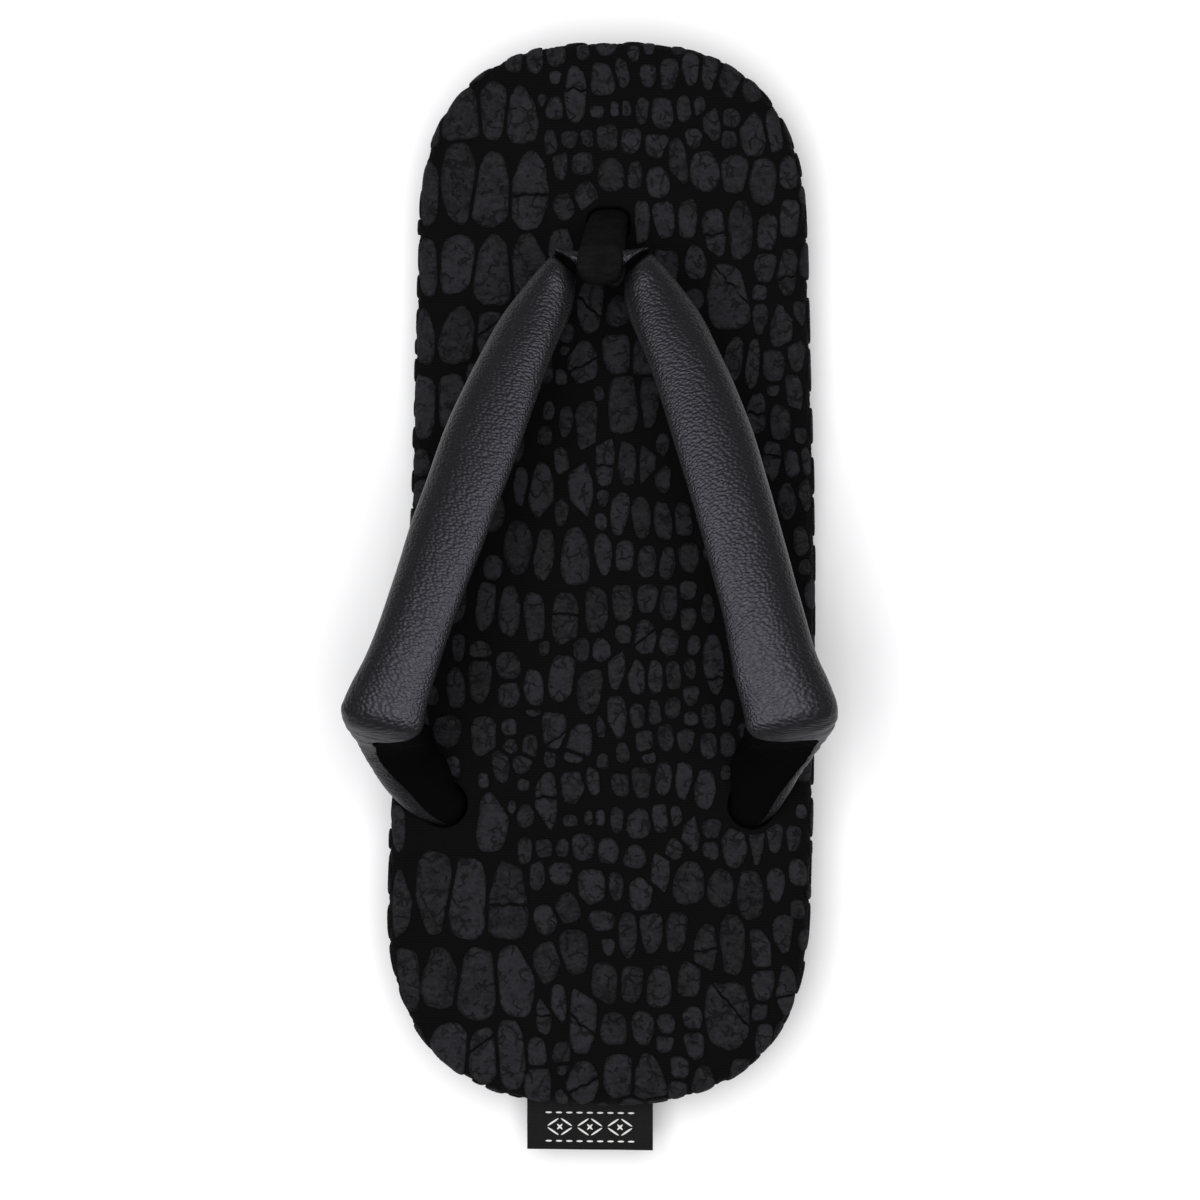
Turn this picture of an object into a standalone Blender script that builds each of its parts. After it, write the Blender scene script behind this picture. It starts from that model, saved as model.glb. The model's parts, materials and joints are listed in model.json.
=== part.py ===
"""A setta: a flat Japanese thonged sandal for the left foot, as its maker puts it together.

A cloth-covered board lies on a sponge rubber outsole. Two padded leather straps, made as one V, leave two holes near
the heel and meet at the front, where a suede loop round them goes down between the toes. A folded cloth label is
caught between board and outsole at the heel.

Sizes are in millimetres, and become metres where a mesh is made. +Y points to the toe, +Z up, and -X to the outer
side of the left foot. The origin is on the floor, under the middle of the sandal's bounding box.
"""

import math
from typing import NamedTuple

import bmesh
import bpy
import numpy as np
from mathutils import Vector

METRE = 0.001

# The sole seen from above: an oblong with full, rounded ends, a little wider at the heel, on a gently bent centre line
SOLE_LENGTH = 264.0
LABEL_REACH = 12.8
TOE_Y = (SOLE_LENGTH + LABEL_REACH) / 2
HEEL_Y = TOE_Y - SOLE_LENGTH
TOE_END_DEPTH = 47.5
TOE_END_FULLNESS = 2.65
HEEL_END_DEPTH = 52.0
HEEL_END_FULLNESS = 2.6
FRONT_HALF_WIDTH = 48.5
REAR_HALF_WIDTH = 52.4
FRONT_WIDTH_Y = 92.5
REAR_WIDTH_Y = -53.5
HEEL_X = -0.7
HEEL_LINE_Y = -100.0
BALL_X = 2.65
BALL_LINE_Y = 35.0
END_TURN = 86.0
END_STEPS = 15
SIDE_STEP = 9.0

# The sole seen from the side
HEEL_SOLE_THICK = 14.0
BALL_SOLE_THICK = 8.0
SLOPE_FROM_Y = -60.0
SLOPE_TO_Y = 20.0
TOE_SPRING = 9.0
SPRING_FROM_Y = 78.0
ARCH_RISE = 3.0
HEEL_BREAST_Y = -40.0
HEEL_BREAST_RUN = 7.0
ARCH_TO_Y = 18.0
BOARD_THICK = 10.0
FIT_GAP = 0.3

# Shallow grooves across the tread, clear of its edge
GROOVE_PITCH = 12.0
GROOVE_WIDTH = 3.0
GROOVE_DEPTH = 1.8
GROOVE_HALF_LENGTH = 34.0
BALL_GROOVES_Y = 28.0
BALL_GROOVES = 5
HEEL_GROOVES_Y = -100.0
HEEL_GROOVES = 5

# Where the straps and the loop pass through the board
STRAP_TURN = 1.0
STRAP_MIDDLE_Y = -27.0
SIDE_HOLE_OUT = 38.4
SIDE_HOLE_Y = -50.8
STRAP_END_RADIUS = 5.4
TOE_HOLE_Y = 94.0
LOOP_END_WIDTH = 9.8
LOOP_END_DEPTH = 7.6
LOOP_FULLNESS = 3.0
HOLE_MOUTH = 3.0
HOLE_FLARE = 1.2

# The strap's middle, held by the loop
BAR_Y = 81.7
BAR_RISE = 25.0
BAR_DEPTH = 7.0
BAR_HEIGHT = 7.2

LABEL_WIDTH = 31.7
LABEL_THICK = 0.9
LABEL_TUCK = 11.0
LABEL_X = -3.0

RING_POINTS = 20
STRAP_STEPS = 3


class Finish(NamedTuple):
    """A surface: linear RGB colour, roughness and metallic value."""

    colour: tuple
    roughness: float
    metallic: float = 0.0


LEATHER = Finish((0.012, 0.012, 0.013), 0.42)
SUEDE = Finish((0.005, 0.005, 0.006), 0.95)
PRINTED_CLOTH = Finish((0.017, 0.017, 0.019), 0.85)
SPONGE_RUBBER = Finish((0.010, 0.010, 0.010), 0.7)
RIBBON = Finish((0.007, 0.007, 0.008), 0.6)


class Strap(NamedTuple):
    """A cross-section of the strap on the inner side of the foot; the outer side mirrors it about the centre line."""

    out: float  # from the centre line to the section's middle
    y: float
    rise: float  # above the board's top face
    width: float
    thick: float
    heading: float  # degrees from +X round to the outer edge, seen from above
    droop: float  # degrees that the outer edge hangs below the inner one


STRAP = (
    Strap(0.0, BAR_Y, BAR_RISE, BAR_DEPTH, BAR_HEIGHT, 90, 0),
    Strap(6.0, BAR_Y, BAR_RISE, BAR_DEPTH, BAR_HEIGHT, 90, 0),
    Strap(8.9, 82.0, 25.2, 7.8, 6.4, 64, 2),
    Strap(9.9, 80.4, 25.6, 10.4, 7.4, 50, 6),
    Strap(11.6, 77.0, 26.6, 12.8, 10.8, 33, 10),
    Strap(13.8, 72.6, 28.0, 14.8, 12.2, 27, 13),
    Strap(16.6, 67.0, 29.6, 16.0, 12.8, 24, 15),
    Strap(21.1, 56.1, 32.6, 16.8, 13.4, 22, 18),
    Strap(27.4, 40.2, 35.8, 17.8, 13.8, 21, 21),
    Strap(33.9, 20.5, 38.6, 18.4, 14.0, 19, 24),
    Strap(39.9, 0.0, 40.2, 18.6, 13.6, 18, 26),
    Strap(45.2, -16.9, 39.6, 19.6, 12.6, 18, 27),
    Strap(47.8, -23.6, 38.0, 21.6, 11.8, 18, 27),
    Strap(49.4, -28.2, 35.0, 24.0, 13.4, 18, 26),
    Strap(48.6, -31.6, 29.6, 21.8, 11.4, 19, 26),
    Strap(46.2, -36.8, 21.0, 17.8, 11.0, 20, 22),
    Strap(42.6, -44.2, 10.6, 14.4, 10.8, 20, 12),
    Strap(39.4, -49.7, 4.0, 2 * STRAP_END_RADIUS, 2 * STRAP_END_RADIUS, 20, 2),
    Strap(SIDE_HOLE_OUT, SIDE_HOLE_Y, 0.5, 2 * STRAP_END_RADIUS, 2 * STRAP_END_RADIUS, 20, 0),
    Strap(SIDE_HOLE_OUT, SIDE_HOLE_Y, -1.0, 2 * STRAP_END_RADIUS, 2 * STRAP_END_RADIUS, 20, 0),
    Strap(SIDE_HOLE_OUT, SIDE_HOLE_Y, FIT_GAP - BOARD_THICK, 2 * STRAP_END_RADIUS, 2 * STRAP_END_RADIUS, 20, 0),
)


class Loop(NamedTuple):
    """A level cross-section of the toe loop."""

    rise: float  # above the board's top face
    y: float
    width: float
    depth: float


LOOP = (
    Loop(FIT_GAP - BOARD_THICK, TOE_HOLE_Y, LOOP_END_WIDTH, LOOP_END_DEPTH),
    Loop(0.0, TOE_HOLE_Y, LOOP_END_WIDTH, LOOP_END_DEPTH),
    Loop(6.0, 92.2, 10.0, 8.0),
    Loop(12.0, 89.4, 10.3, 8.8),
    Loop(17.0, 86.4, 10.7, 10.0),
    Loop(21.0, 83.8, 11.0, 11.4),
    Loop(25.0, 82.6, 11.2, 12.0),
    Loop(28.0, 82.3, 11.2, 11.0),
    Loop(30.0, 82.1, 11.0, 8.6),
    Loop(31.0, 82.1, 10.4, 5.2),
    Loop(31.4, 82.1, 9.0, 2.4),
)


def ease(t):
    """0 before t = 0, 1 after t = 1, and smooth between."""
    t = min(max(t, 0.0), 1.0)
    return t * t * (3 - 2 * t)


def centre_x(y):
    """The sole's bent centre line."""
    return HEEL_X + (BALL_X - HEEL_X) * ease((y - HEEL_LINE_Y) / (BALL_LINE_Y - HEEL_LINE_Y))


def strap_x(y):
    """The middle line of the strap, which sits on the sole turned a little towards the big toe."""
    return (y - STRAP_MIDDLE_Y) * math.tan(math.radians(STRAP_TURN))


def side_half_width(y):
    """Half the sole's width between its rounded ends."""
    share = (FRONT_WIDTH_Y - y) / (FRONT_WIDTH_Y - REAR_WIDTH_Y)
    return FRONT_HALF_WIDTH + (REAR_HALF_WIDTH - FRONT_HALF_WIDTH) * min(share, 1.0)


def toe_lift(y):
    return TOE_SPRING * max(0.0, (y - SPRING_FROM_Y) / (TOE_Y - SPRING_FROM_Y)) ** 2


def tread_z(y):
    """Height of the outsole's underside: flat under heel and ball, hollow at the arch, lifted at the toe."""
    breast = ease((y - HEEL_BREAST_Y) / HEEL_BREAST_RUN)
    fall = 1 - ease((y - HEEL_BREAST_Y - HEEL_BREAST_RUN) / (ARCH_TO_Y - HEEL_BREAST_Y - HEEL_BREAST_RUN))
    return ARCH_RISE * breast * fall + toe_lift(y)


def joint_z(y):
    """Height of the outsole's top, on which the board lies."""
    down = ease((y - SLOPE_FROM_Y) / (SLOPE_TO_Y - SLOPE_FROM_Y))
    return HEEL_SOLE_THICK + (BALL_SOLE_THICK - HEEL_SOLE_THICK) * down + toe_lift(y)


def board_top_z(y):
    return joint_z(y) + FIT_GAP + BOARD_THICK


def rounded_end(base_y, depth, fullness):
    """(y, share of the half width) along a superellipse that closes the outline, short of its pole."""
    last_turn = math.radians(END_TURN)
    for step in range(END_STEPS + 1):
        turn = last_turn * step / END_STEPS
        reach = (math.sin(turn) / math.sin(last_turn)) ** (2 / fullness)
        yield base_y + depth * reach, math.cos(turn) ** (2 / fullness)


def outline():
    """(right side, left side) of the sole, each from heel to toe, at the same y."""
    heel_base, toe_base = HEEL_Y + HEEL_END_DEPTH, TOE_Y - TOE_END_DEPTH
    rows = list(rounded_end(heel_base, -HEEL_END_DEPTH, HEEL_END_FULLNESS))[::-1]
    sides = int((toe_base - heel_base) // SIDE_STEP)
    rows += [(heel_base + (toe_base - heel_base) * step / sides, 1.0) for step in range(1, sides)]
    rows += list(rounded_end(toe_base, TOE_END_DEPTH, TOE_END_FULLNESS))
    right = [Vector((centre_x(y) + side_half_width(y) * share, y)) for y, share in rows]
    left = [Vector((centre_x(y) - side_half_width(y) * share, y)) for y, share in rows]
    return right, left


def inset_outline(inset):
    """The outline moved inwards by inset, as one list round the sole, right side first."""
    right, left = outline()
    loop = right + left[::-1]
    moved = []
    for i, point in enumerate(loop):
        along = (loop[(i + 1) % len(loop)] - loop[i - 1]).normalized()
        moved.append(point + inset * Vector((-along.y, along.x)))
    return moved


def make_object(name, bm, finish):
    """The finished mesh as an object in metres, with its own material."""
    bmesh.ops.scale(bm, vec=(METRE, METRE, METRE), verts=bm.verts)
    bmesh.ops.recalc_face_normals(bm, faces=bm.faces)
    mesh = bpy.data.meshes.new(name)
    bm.to_mesh(mesh)
    bm.free()
    obj = bpy.data.objects.new(name, mesh)
    bpy.context.scene.collection.objects.link(obj)
    mesh.shade_smooth()
    mesh.set_sharp_from_angle(angle=math.radians(40))
    material = bpy.data.materials.new(name)
    material.use_nodes = True
    shader = material.node_tree.nodes["Principled BSDF"]
    shader.inputs["Base Color"].default_value = (*finish.colour, 1)
    shader.inputs["Roughness"].default_value = finish.roughness
    shader.inputs["Metallic"].default_value = finish.metallic
    mesh.materials.append(material)
    return obj


def cut(obj, cutter):
    """Takes the cutter's shape out of obj, and hides the cutter."""
    modifier = obj.modifiers.new("Cut " + cutter.name, "BOOLEAN")
    modifier.object = cutter
    modifier.operation = "DIFFERENCE"
    modifier.solver = "EXACT"
    cutter.hide_render = True
    cutter.display_type = "WIRE"


def skin(bm, rings):
    """Quads between neighbouring closed rings of equal length."""
    for low, high in zip(rings, rings[1:]):
        for i in range(len(low)):
            j = (i + 1) % len(low)
            bm.faces.new((low[i], low[j], high[j], high[i]))


def sole_layer(name, steps, finish):
    """A layer of the sole through rings given as (inset, height function), its two faces closed by cross strips."""
    bm = bmesh.new()
    rings = []
    for inset, height in steps:
        rings.append([bm.verts.new((p.x, p.y, height(p.y))) for p in inset_outline(inset)])
    skin(bm, rings)
    for ring in (rings[0], rings[-1]):
        for i in range(len(ring) // 2 - 1):
            bm.faces.new((ring[i], ring[i + 1], ring[-2 - i], ring[-1 - i]))
    return make_object(name, bm, finish)


def cut_board_hole(board, name, x, y, width, depth, fullness):
    """A hole through the board, its mouth rounded off where the cloth turns into it."""
    bm = bmesh.new()
    top = board_top_z(y)
    rings = []
    for z, flare in (
        (joint_z(y) - HOLE_MOUTH, 0.0),
        (top - HOLE_MOUTH, 0.0),
        (top - HOLE_MOUTH / 3, HOLE_FLARE / 3),
        (top + HOLE_MOUTH / 3, HOLE_FLARE),
    ):
        size = (width + 2 * (FIT_GAP + flare), depth + 2 * (FIT_GAP + flare))
        rings.append(level_ring(bm, x, y, z, *size, fullness))
    skin(bm, rings)
    bm.faces.new(rings[0])
    bm.faces.new(rings[-1])
    cut(board, make_object(name, bm, PRINTED_CLOTH))


def level_ring(bm, x, y, z, width, depth, fullness):
    """A superellipse of vertices round (x, y), at height z."""
    ring = []
    for i in range(RING_POINTS):
        turn = 2 * math.pi * i / RING_POINTS
        across = math.copysign(abs(math.cos(turn)) ** (2 / fullness), math.cos(turn))
        along = math.copysign(abs(math.sin(turn)) ** (2 / fullness), math.sin(turn))
        ring.append(bm.verts.new((x + across * width / 2, y + along * depth / 2, z)))
    return ring


def box_into(bm, low, high):
    """Adds a box between two corners."""
    made = bmesh.ops.create_cube(bm, size=1.0)["verts"]
    middle = [(a + b) / 2 for a, b in zip(low, high)]
    bmesh.ops.scale(bm, vec=[b - a for a, b in zip(low, high)], verts=made)
    bmesh.ops.translate(bm, vec=middle, verts=made)


def make_outsole():
    outsole = sole_layer(
        "outsole",
        (
            (2.6, tread_z),
            (1.4, lambda y: tread_z(y) + 1.4),
            (1.8, lambda y: joint_z(y) - 0.8),
            (2.4, joint_z),
        ),
        SPONGE_RUBBER,
    )
    bm = bmesh.new()
    for first_y, count in ((BALL_GROOVES_Y, BALL_GROOVES), (HEEL_GROOVES_Y, HEEL_GROOVES)):
        for n in range(count):
            y = first_y + n * GROOVE_PITCH
            low = (centre_x(y) - GROOVE_HALF_LENGTH, y - GROOVE_WIDTH / 2, -GROOVE_DEPTH)
            high = (centre_x(y) + GROOVE_HALF_LENGTH, y + GROOVE_WIDTH / 2, GROOVE_DEPTH)
            box_into(bm, low, high)
    cut(outsole, make_object("tread_grooves", bm, SPONGE_RUBBER))

    bm = bmesh.new()
    label_low, label_high = label_corners()
    room = Vector((FIT_GAP, FIT_GAP, FIT_GAP))
    box_into(bm, label_low - room, label_high + room + Vector((0, 0, LABEL_THICK)))
    cut(outsole, make_object("label_slot", bm, RIBBON))


def make_board():
    board = sole_layer(
        "footbed",
        (
            (2.6, lambda y: joint_z(y) + FIT_GAP),
            (0.9, lambda y: joint_z(y) + FIT_GAP + 0.9),
            (0.0, lambda y: joint_z(y) + FIT_GAP + 3.2),
            (0.0, lambda y: board_top_z(y) - 3.4),
            (0.5, lambda y: board_top_z(y) - 1.7),
            (1.6, lambda y: board_top_z(y) - 0.5),
            (3.4, board_top_z),
        ),
        PRINTED_CLOTH,
    )
    for name, side in (("inner_hole", 1), ("outer_hole", -1)):
        x = strap_x(SIDE_HOLE_Y) + side * SIDE_HOLE_OUT
        cut_board_hole(board, name, x, SIDE_HOLE_Y, 2 * STRAP_END_RADIUS, 2 * STRAP_END_RADIUS, 2.0)
    x = strap_x(TOE_HOLE_Y)
    cut_board_hole(board, "toe_hole", x, TOE_HOLE_Y, LOOP_END_WIDTH, LOOP_END_DEPTH, LOOP_FULLNESS)


def smooth_rows(rows, steps):
    """The rows, with steps - 1 more between each two, along a curve that passes through every row."""
    table = np.array(rows, float)
    spans = np.linalg.norm(np.diff(table[:, :3], axis=0), axis=1)[:, None]
    slopes = np.diff(table, axis=0) / spans
    inner_rates = (spans[1:] * slopes[:-1] + spans[:-1] * slopes[1:]) / (spans[1:] + spans[:-1])
    rates = np.vstack((slopes[:1], inner_rates, slopes[-1:]))
    made = []
    for n, span in enumerate(spans):
        for t in np.arange(steps) / steps:
            straight = (1 - ease(t)) * table[n] + ease(t) * table[n + 1]
            curve = (t - 2 * t**2 + t**3) * rates[n] + (t**3 - t**2) * rates[n + 1]
            made.append(Strap(*(straight + span * curve)))
    return made + [rows[-1]]


def strap_ring(row, tangent):
    """The oval section of one strap row, as offsets from the centre line, on the inner side of the foot."""
    heading, droop = math.radians(row.heading), math.radians(row.droop)
    across = Vector(
        (math.cos(heading) * math.cos(droop), math.sin(heading) * math.cos(droop), -math.sin(droop))
    )
    face = tangent.cross(across).normalized()
    middle = Vector((row.out, row.y, board_top_z(row.y) + row.rise))
    ring = []
    for i in range(RING_POINTS):
        turn = 2 * math.pi * i / RING_POINTS
        ring.append(middle + across * math.cos(turn) * row.width / 2 + face * math.sin(turn) * row.thick / 2)
    return ring


def make_strap():
    rows = smooth_rows(STRAP, STRAP_STEPS)
    middles = [Vector((r.out, r.y, board_top_z(r.y) + r.rise)) for r in rows]
    inner = []
    for n, row in enumerate(rows):
        before = middles[max(n - 1, 0)]
        after = middles[min(n + 1, len(rows) - 1)]
        inner.append(strap_ring(row, (after - before).normalized()))
    bm = bmesh.new()
    rings = []
    for side, half in ((-1, inner[:0:-1]), (1, inner)):
        for ring in half:
            rings.append([bm.verts.new((strap_x(p.y) + side * p.x, p.y, p.z)) for p in ring])
    skin(bm, rings)
    bm.faces.new(rings[0])
    bm.faces.new(rings[-1])
    make_object("strap", bm, LEATHER)


def make_toe_loop():
    bm = bmesh.new()
    base = board_top_z(TOE_HOLE_Y)
    rings = []
    for row in LOOP:
        x = strap_x(row.y)
        rings.append(level_ring(bm, x, row.y, base + row.rise, row.width, row.depth, LOOP_FULLNESS))
    skin(bm, rings)
    bm.faces.new(rings[0])
    bm.faces.new(rings[-1])
    loop = make_object("toe_loop", bm, SUEDE)

    bm = bmesh.new()
    z = board_top_z(BAR_Y) + BAR_RISE
    ends = []
    for x in (-LOOP_END_WIDTH, LOOP_END_WIDTH):
        ring = []
        for i in range(RING_POINTS):
            turn = 2 * math.pi * i / RING_POINTS
            y = BAR_Y + math.cos(turn) * (BAR_DEPTH / 2 + FIT_GAP)
            ring.append(bm.verts.new((strap_x(BAR_Y) + x, y, z + math.sin(turn) * (BAR_HEIGHT / 2 + FIT_GAP))))
        ends.append(ring)
    skin(bm, ends)
    bm.faces.new(ends[0])
    bm.faces.new(ends[1])
    cut(loop, make_object("bar_passage", bm, LEATHER))


def label_corners():
    """Lowest and highest corner of the label, lying in its slot and reaching out behind the heel."""
    top = joint_z(HEEL_Y)
    low = Vector((LABEL_X - LABEL_WIDTH / 2, HEEL_Y - LABEL_REACH, top - LABEL_THICK))
    high = Vector((LABEL_X + LABEL_WIDTH / 2, HEEL_Y + LABEL_TUCK, top))
    return low, high


def make_label():
    bm = bmesh.new()
    box_into(bm, *label_corners())
    make_object("label", bm, RIBBON)


def clear_scene():
    for obj in list(bpy.data.objects):
        bpy.data.objects.remove(obj, do_unlink=True)


def main():
    clear_scene()
    make_outsole()
    make_board()
    make_strap()
    make_toe_loop()
    make_label()


main()
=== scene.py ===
"""The finish of a setta, a flat Japanese thonged sandal: printed cloth, leather and suede over its solids.

It is laid out as an add-on and run as a script. The tables and helpers work in millimetres in the sandal's
own frame, with +Y to the toe, +Z up and +X to the inner side of this left foot. A mesh becomes metres when it
is finished.
"""

import json
import math
import random
from typing import NamedTuple

import bmesh
import bpy
import numpy as np
from mathutils import Matrix, Vector, noise

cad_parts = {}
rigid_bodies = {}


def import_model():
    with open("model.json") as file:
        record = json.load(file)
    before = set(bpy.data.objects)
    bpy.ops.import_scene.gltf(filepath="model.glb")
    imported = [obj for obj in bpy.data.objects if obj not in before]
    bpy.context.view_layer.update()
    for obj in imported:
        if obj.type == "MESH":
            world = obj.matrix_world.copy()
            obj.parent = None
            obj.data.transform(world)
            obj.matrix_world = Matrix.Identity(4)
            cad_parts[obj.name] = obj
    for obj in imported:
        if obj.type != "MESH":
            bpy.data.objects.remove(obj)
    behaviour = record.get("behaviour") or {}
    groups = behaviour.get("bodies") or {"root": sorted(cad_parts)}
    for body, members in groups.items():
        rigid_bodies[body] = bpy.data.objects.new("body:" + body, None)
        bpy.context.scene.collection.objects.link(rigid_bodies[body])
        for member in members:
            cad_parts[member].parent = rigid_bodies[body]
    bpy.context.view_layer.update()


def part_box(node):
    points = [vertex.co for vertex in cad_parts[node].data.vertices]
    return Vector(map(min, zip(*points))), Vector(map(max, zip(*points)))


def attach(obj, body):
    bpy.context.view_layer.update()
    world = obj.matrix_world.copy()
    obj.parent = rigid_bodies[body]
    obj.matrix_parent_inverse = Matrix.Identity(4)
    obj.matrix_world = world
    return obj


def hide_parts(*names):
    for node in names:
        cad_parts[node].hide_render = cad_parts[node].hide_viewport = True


bl_info = {
    "name": "Setta Sandal",
    "version": (1, 0, 0),
    "blender": (4, 5, 0),
    "location": "3D View > Sidebar > Setta",
    "description": "Makes the cloth, leather, suede and rubber of a setta round its solids",
    "category": "Object",
}

MM = 0.001

for startup_object in list(bpy.data.objects):
    bpy.data.objects.remove(startup_object, do_unlink=True)
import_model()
BOARD_LOW, BOARD_HIGH = (Vector(corner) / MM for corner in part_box("footbed"))
LABEL_LOW, LABEL_HIGH = (Vector(corner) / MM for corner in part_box("label"))

# The sole seen from above
HEEL_Y, TOE_Y = BOARD_LOW.y, BOARD_HIGH.y
TOE_END_DEPTH, TOE_END_FULLNESS = 47.5, 2.65
HEEL_END_DEPTH, HEEL_END_FULLNESS = 52.0, 2.6
FRONT_HALF_WIDTH, FRONT_WIDTH_Y = 48.5, 92.5
REAR_HALF_WIDTH, REAR_WIDTH_Y = 52.4, -53.5
HEEL_X, HEEL_LINE_Y = -0.7, -100.0
BALL_X, BALL_LINE_Y = 2.65, 35.0

# The sole seen from the side
HEEL_SOLE_THICK, BALL_SOLE_THICK = 14.0, 8.0
SLOPE_FROM_Y, SLOPE_TO_Y = -60.0, 20.0
TOE_SPRING, SPRING_FROM_Y = 9.0, 78.0
ARCH_RISE, HEEL_BREAST_Y, HEEL_BREAST_RUN, ARCH_TO_Y = 3.0, -40.0, 7.0, 18.0
BOARD_THICK = 10.0
FIT_GAP = 0.3
EDGE_RADIUS = 3.4

# Where straps and loop pass through the board
STRAP_TURN, STRAP_MIDDLE_Y = 1.0, -27.0
SIDE_HOLE_OUT, SIDE_HOLE_Y, SIDE_HOLE_RADIUS = 38.4, -50.8, 5.7
TOE_HOLE_Y, TOE_HOLE_WIDTH, TOE_HOLE_DEPTH = 94.0, 10.4, 8.2


def ease(t):
    """0 before t = 0, 1 after t = 1, and smooth between."""
    t = np.clip(t, 0.0, 1.0)
    return t * t * (3 - 2 * t)


def centre_x(y):
    """The sole's bent centre line."""
    return HEEL_X + (BALL_X - HEEL_X) * ease((y - HEEL_LINE_Y) / (BALL_LINE_Y - HEEL_LINE_Y))


def strap_x(y):
    """The middle line of the straps, which sit turned a little towards the big toe."""
    return (y - STRAP_MIDDLE_Y) * math.tan(math.radians(STRAP_TURN))


def side_half_width(y):
    share = (FRONT_WIDTH_Y - y) / (FRONT_WIDTH_Y - REAR_WIDTH_Y)
    return FRONT_HALF_WIDTH + (REAR_HALF_WIDTH - FRONT_HALF_WIDTH) * np.minimum(share, 1.0)


def toe_lift(y):
    return TOE_SPRING * np.maximum(0.0, (y - SPRING_FROM_Y) / (TOE_Y - SPRING_FROM_Y)) ** 2


def tread_z(y):
    """Height of the outsole's underside: flat under heel and ball, hollow at the arch, lifted at the toe."""
    breast = ease((y - HEEL_BREAST_Y) / HEEL_BREAST_RUN)
    fall = 1 - ease((y - HEEL_BREAST_Y - HEEL_BREAST_RUN) / (ARCH_TO_Y - HEEL_BREAST_Y - HEEL_BREAST_RUN))
    return ARCH_RISE * breast * fall + toe_lift(y)


def joint_z(y):
    """Height of the outsole's top, on which the board lies."""
    down = ease((y - SLOPE_FROM_Y) / (SLOPE_TO_Y - SLOPE_FROM_Y))
    return HEEL_SOLE_THICK + (BALL_SOLE_THICK - HEEL_SOLE_THICK) * down + toe_lift(y)


def board_top_z(y):
    return joint_z(y) + FIT_GAP + BOARD_THICK


class Edge:
    """A closed line round the sole: evenly spaced points and the outward direction at each."""

    def __init__(self, count, inset=0.0):
        turn = np.radians(np.linspace(0.0, 90.0, 400))
        rows = []
        for base, depth, fullness in (
            (HEEL_Y + HEEL_END_DEPTH, -HEEL_END_DEPTH, HEEL_END_FULLNESS),
            (TOE_Y - TOE_END_DEPTH, TOE_END_DEPTH, TOE_END_FULLNESS),
        ):
            reach = np.sin(turn) ** (2 / fullness)
            share = np.abs(np.cos(turn)) ** (2 / fullness)
            rows.append(np.column_stack((base + depth * reach, share)))
        sides = np.linspace(rows[0][0, 0], rows[1][0, 0], 400)[1:-1]
        rows = np.vstack((rows[0][::-1], np.column_stack((sides, np.ones_like(sides))), rows[1]))
        y, share = rows.T
        right = np.column_stack((centre_x(y) + side_half_width(y) * share, y))
        left = np.column_stack((centre_x(y) - side_half_width(y) * share, y))
        line = np.vstack((right, left[::-1][1:]))
        run = np.concatenate(([0], np.cumsum(np.linalg.norm(np.diff(line, axis=0), axis=1))))
        at = np.linspace(0, run[-1], count, endpoint=False)
        self.points = np.column_stack([np.interp(at, run, line[:, axis]) for axis in (0, 1)])
        along = np.roll(self.points, -1, axis=0) - np.roll(self.points, 1, axis=0)
        along /= np.linalg.norm(along, axis=1)[:, None]
        self.out = np.column_stack((along[:, 1], -along[:, 0]))
        self.points = self.points - inset * self.out


def smooth_rows(rows, steps):
    """The table's rows with steps - 1 more between each two, on a curve that passes through every row."""
    table = np.array(rows, float)
    spans = np.maximum(np.linalg.norm(np.diff(table[:, :3], axis=0), axis=1), 1e-6)[:, None]
    slopes = np.diff(table, axis=0) / spans
    inner_rates = (spans[1:] * slopes[:-1] + spans[:-1] * slopes[1:]) / (spans[1:] + spans[:-1])
    rates = np.vstack((slopes[:1], inner_rates, slopes[-1:]))
    made = []
    for n, span in enumerate(spans):
        for t in np.arange(steps) / steps:
            straight = (1 - ease(t)) * table[n] + ease(t) * table[n + 1]
            curve = (t - 2 * t**2 + t**3) * rates[n] + (t**3 - t**2) * rates[n + 1]
            made.append(straight + span * curve)
    return np.array(made + [table[-1]])


# ---- Making meshes ----


def rolled(bm, rings):
    """A closed tube through rings of equally many points: a grid whose two side edges are sewn together."""
    bm.loops.layers.uv.new("lay")
    around, along = len(rings[0]), len(rings) - 1
    made = bmesh.ops.create_grid(bm, x_segments=around, y_segments=along, size=0.5, calc_uvs=True)["verts"]
    for vert in made:
        column = round((vert.co.x + 0.5) * around) % around
        row = round((vert.co.y + 0.5) * along)
        vert.co = rings[row][column]
    bmesh.ops.remove_doubles(bm, verts=made, dist=1e-4)
    rim = [edge for edge in bm.edges if edge.is_boundary]
    bmesh.ops.holes_fill(bm, edges=rim, sides=0)


def spread_lay(bm, rings):
    """Turns the grid's 0-to-1 lay into metres along the piece and, from its middle line, round it."""
    lay = bm.loops.layers.uv["lay"]
    rings = np.array(rings)
    middles = rings.mean(axis=1)
    girths = np.linalg.norm(rings - np.roll(rings, 1, axis=1), axis=2).sum(axis=1)
    steps = np.linalg.norm(np.diff(middles, axis=0), axis=1)
    walked = np.concatenate(([0.0], np.cumsum(steps)))
    places = np.linspace(0.0, 1.0, len(rings))
    for face in bm.faces:
        for loop in face.loops:
            x, y = loop[lay].uv
            girth, along = np.interp(y, places, girths), np.interp(y, places, walked)
            loop[lay].uv = ((x - 0.5) * girth * MM, along * MM)


def slice_all(bm, point, normal, geom=None, clear_outer=False):
    geom = geom or bm.verts[:] + bm.edges[:] + bm.faces[:]
    return bmesh.ops.bisect_plane(
        bm, geom=geom, dist=1e-4, plane_co=point, plane_no=normal, clear_outer=clear_outer
    )


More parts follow.
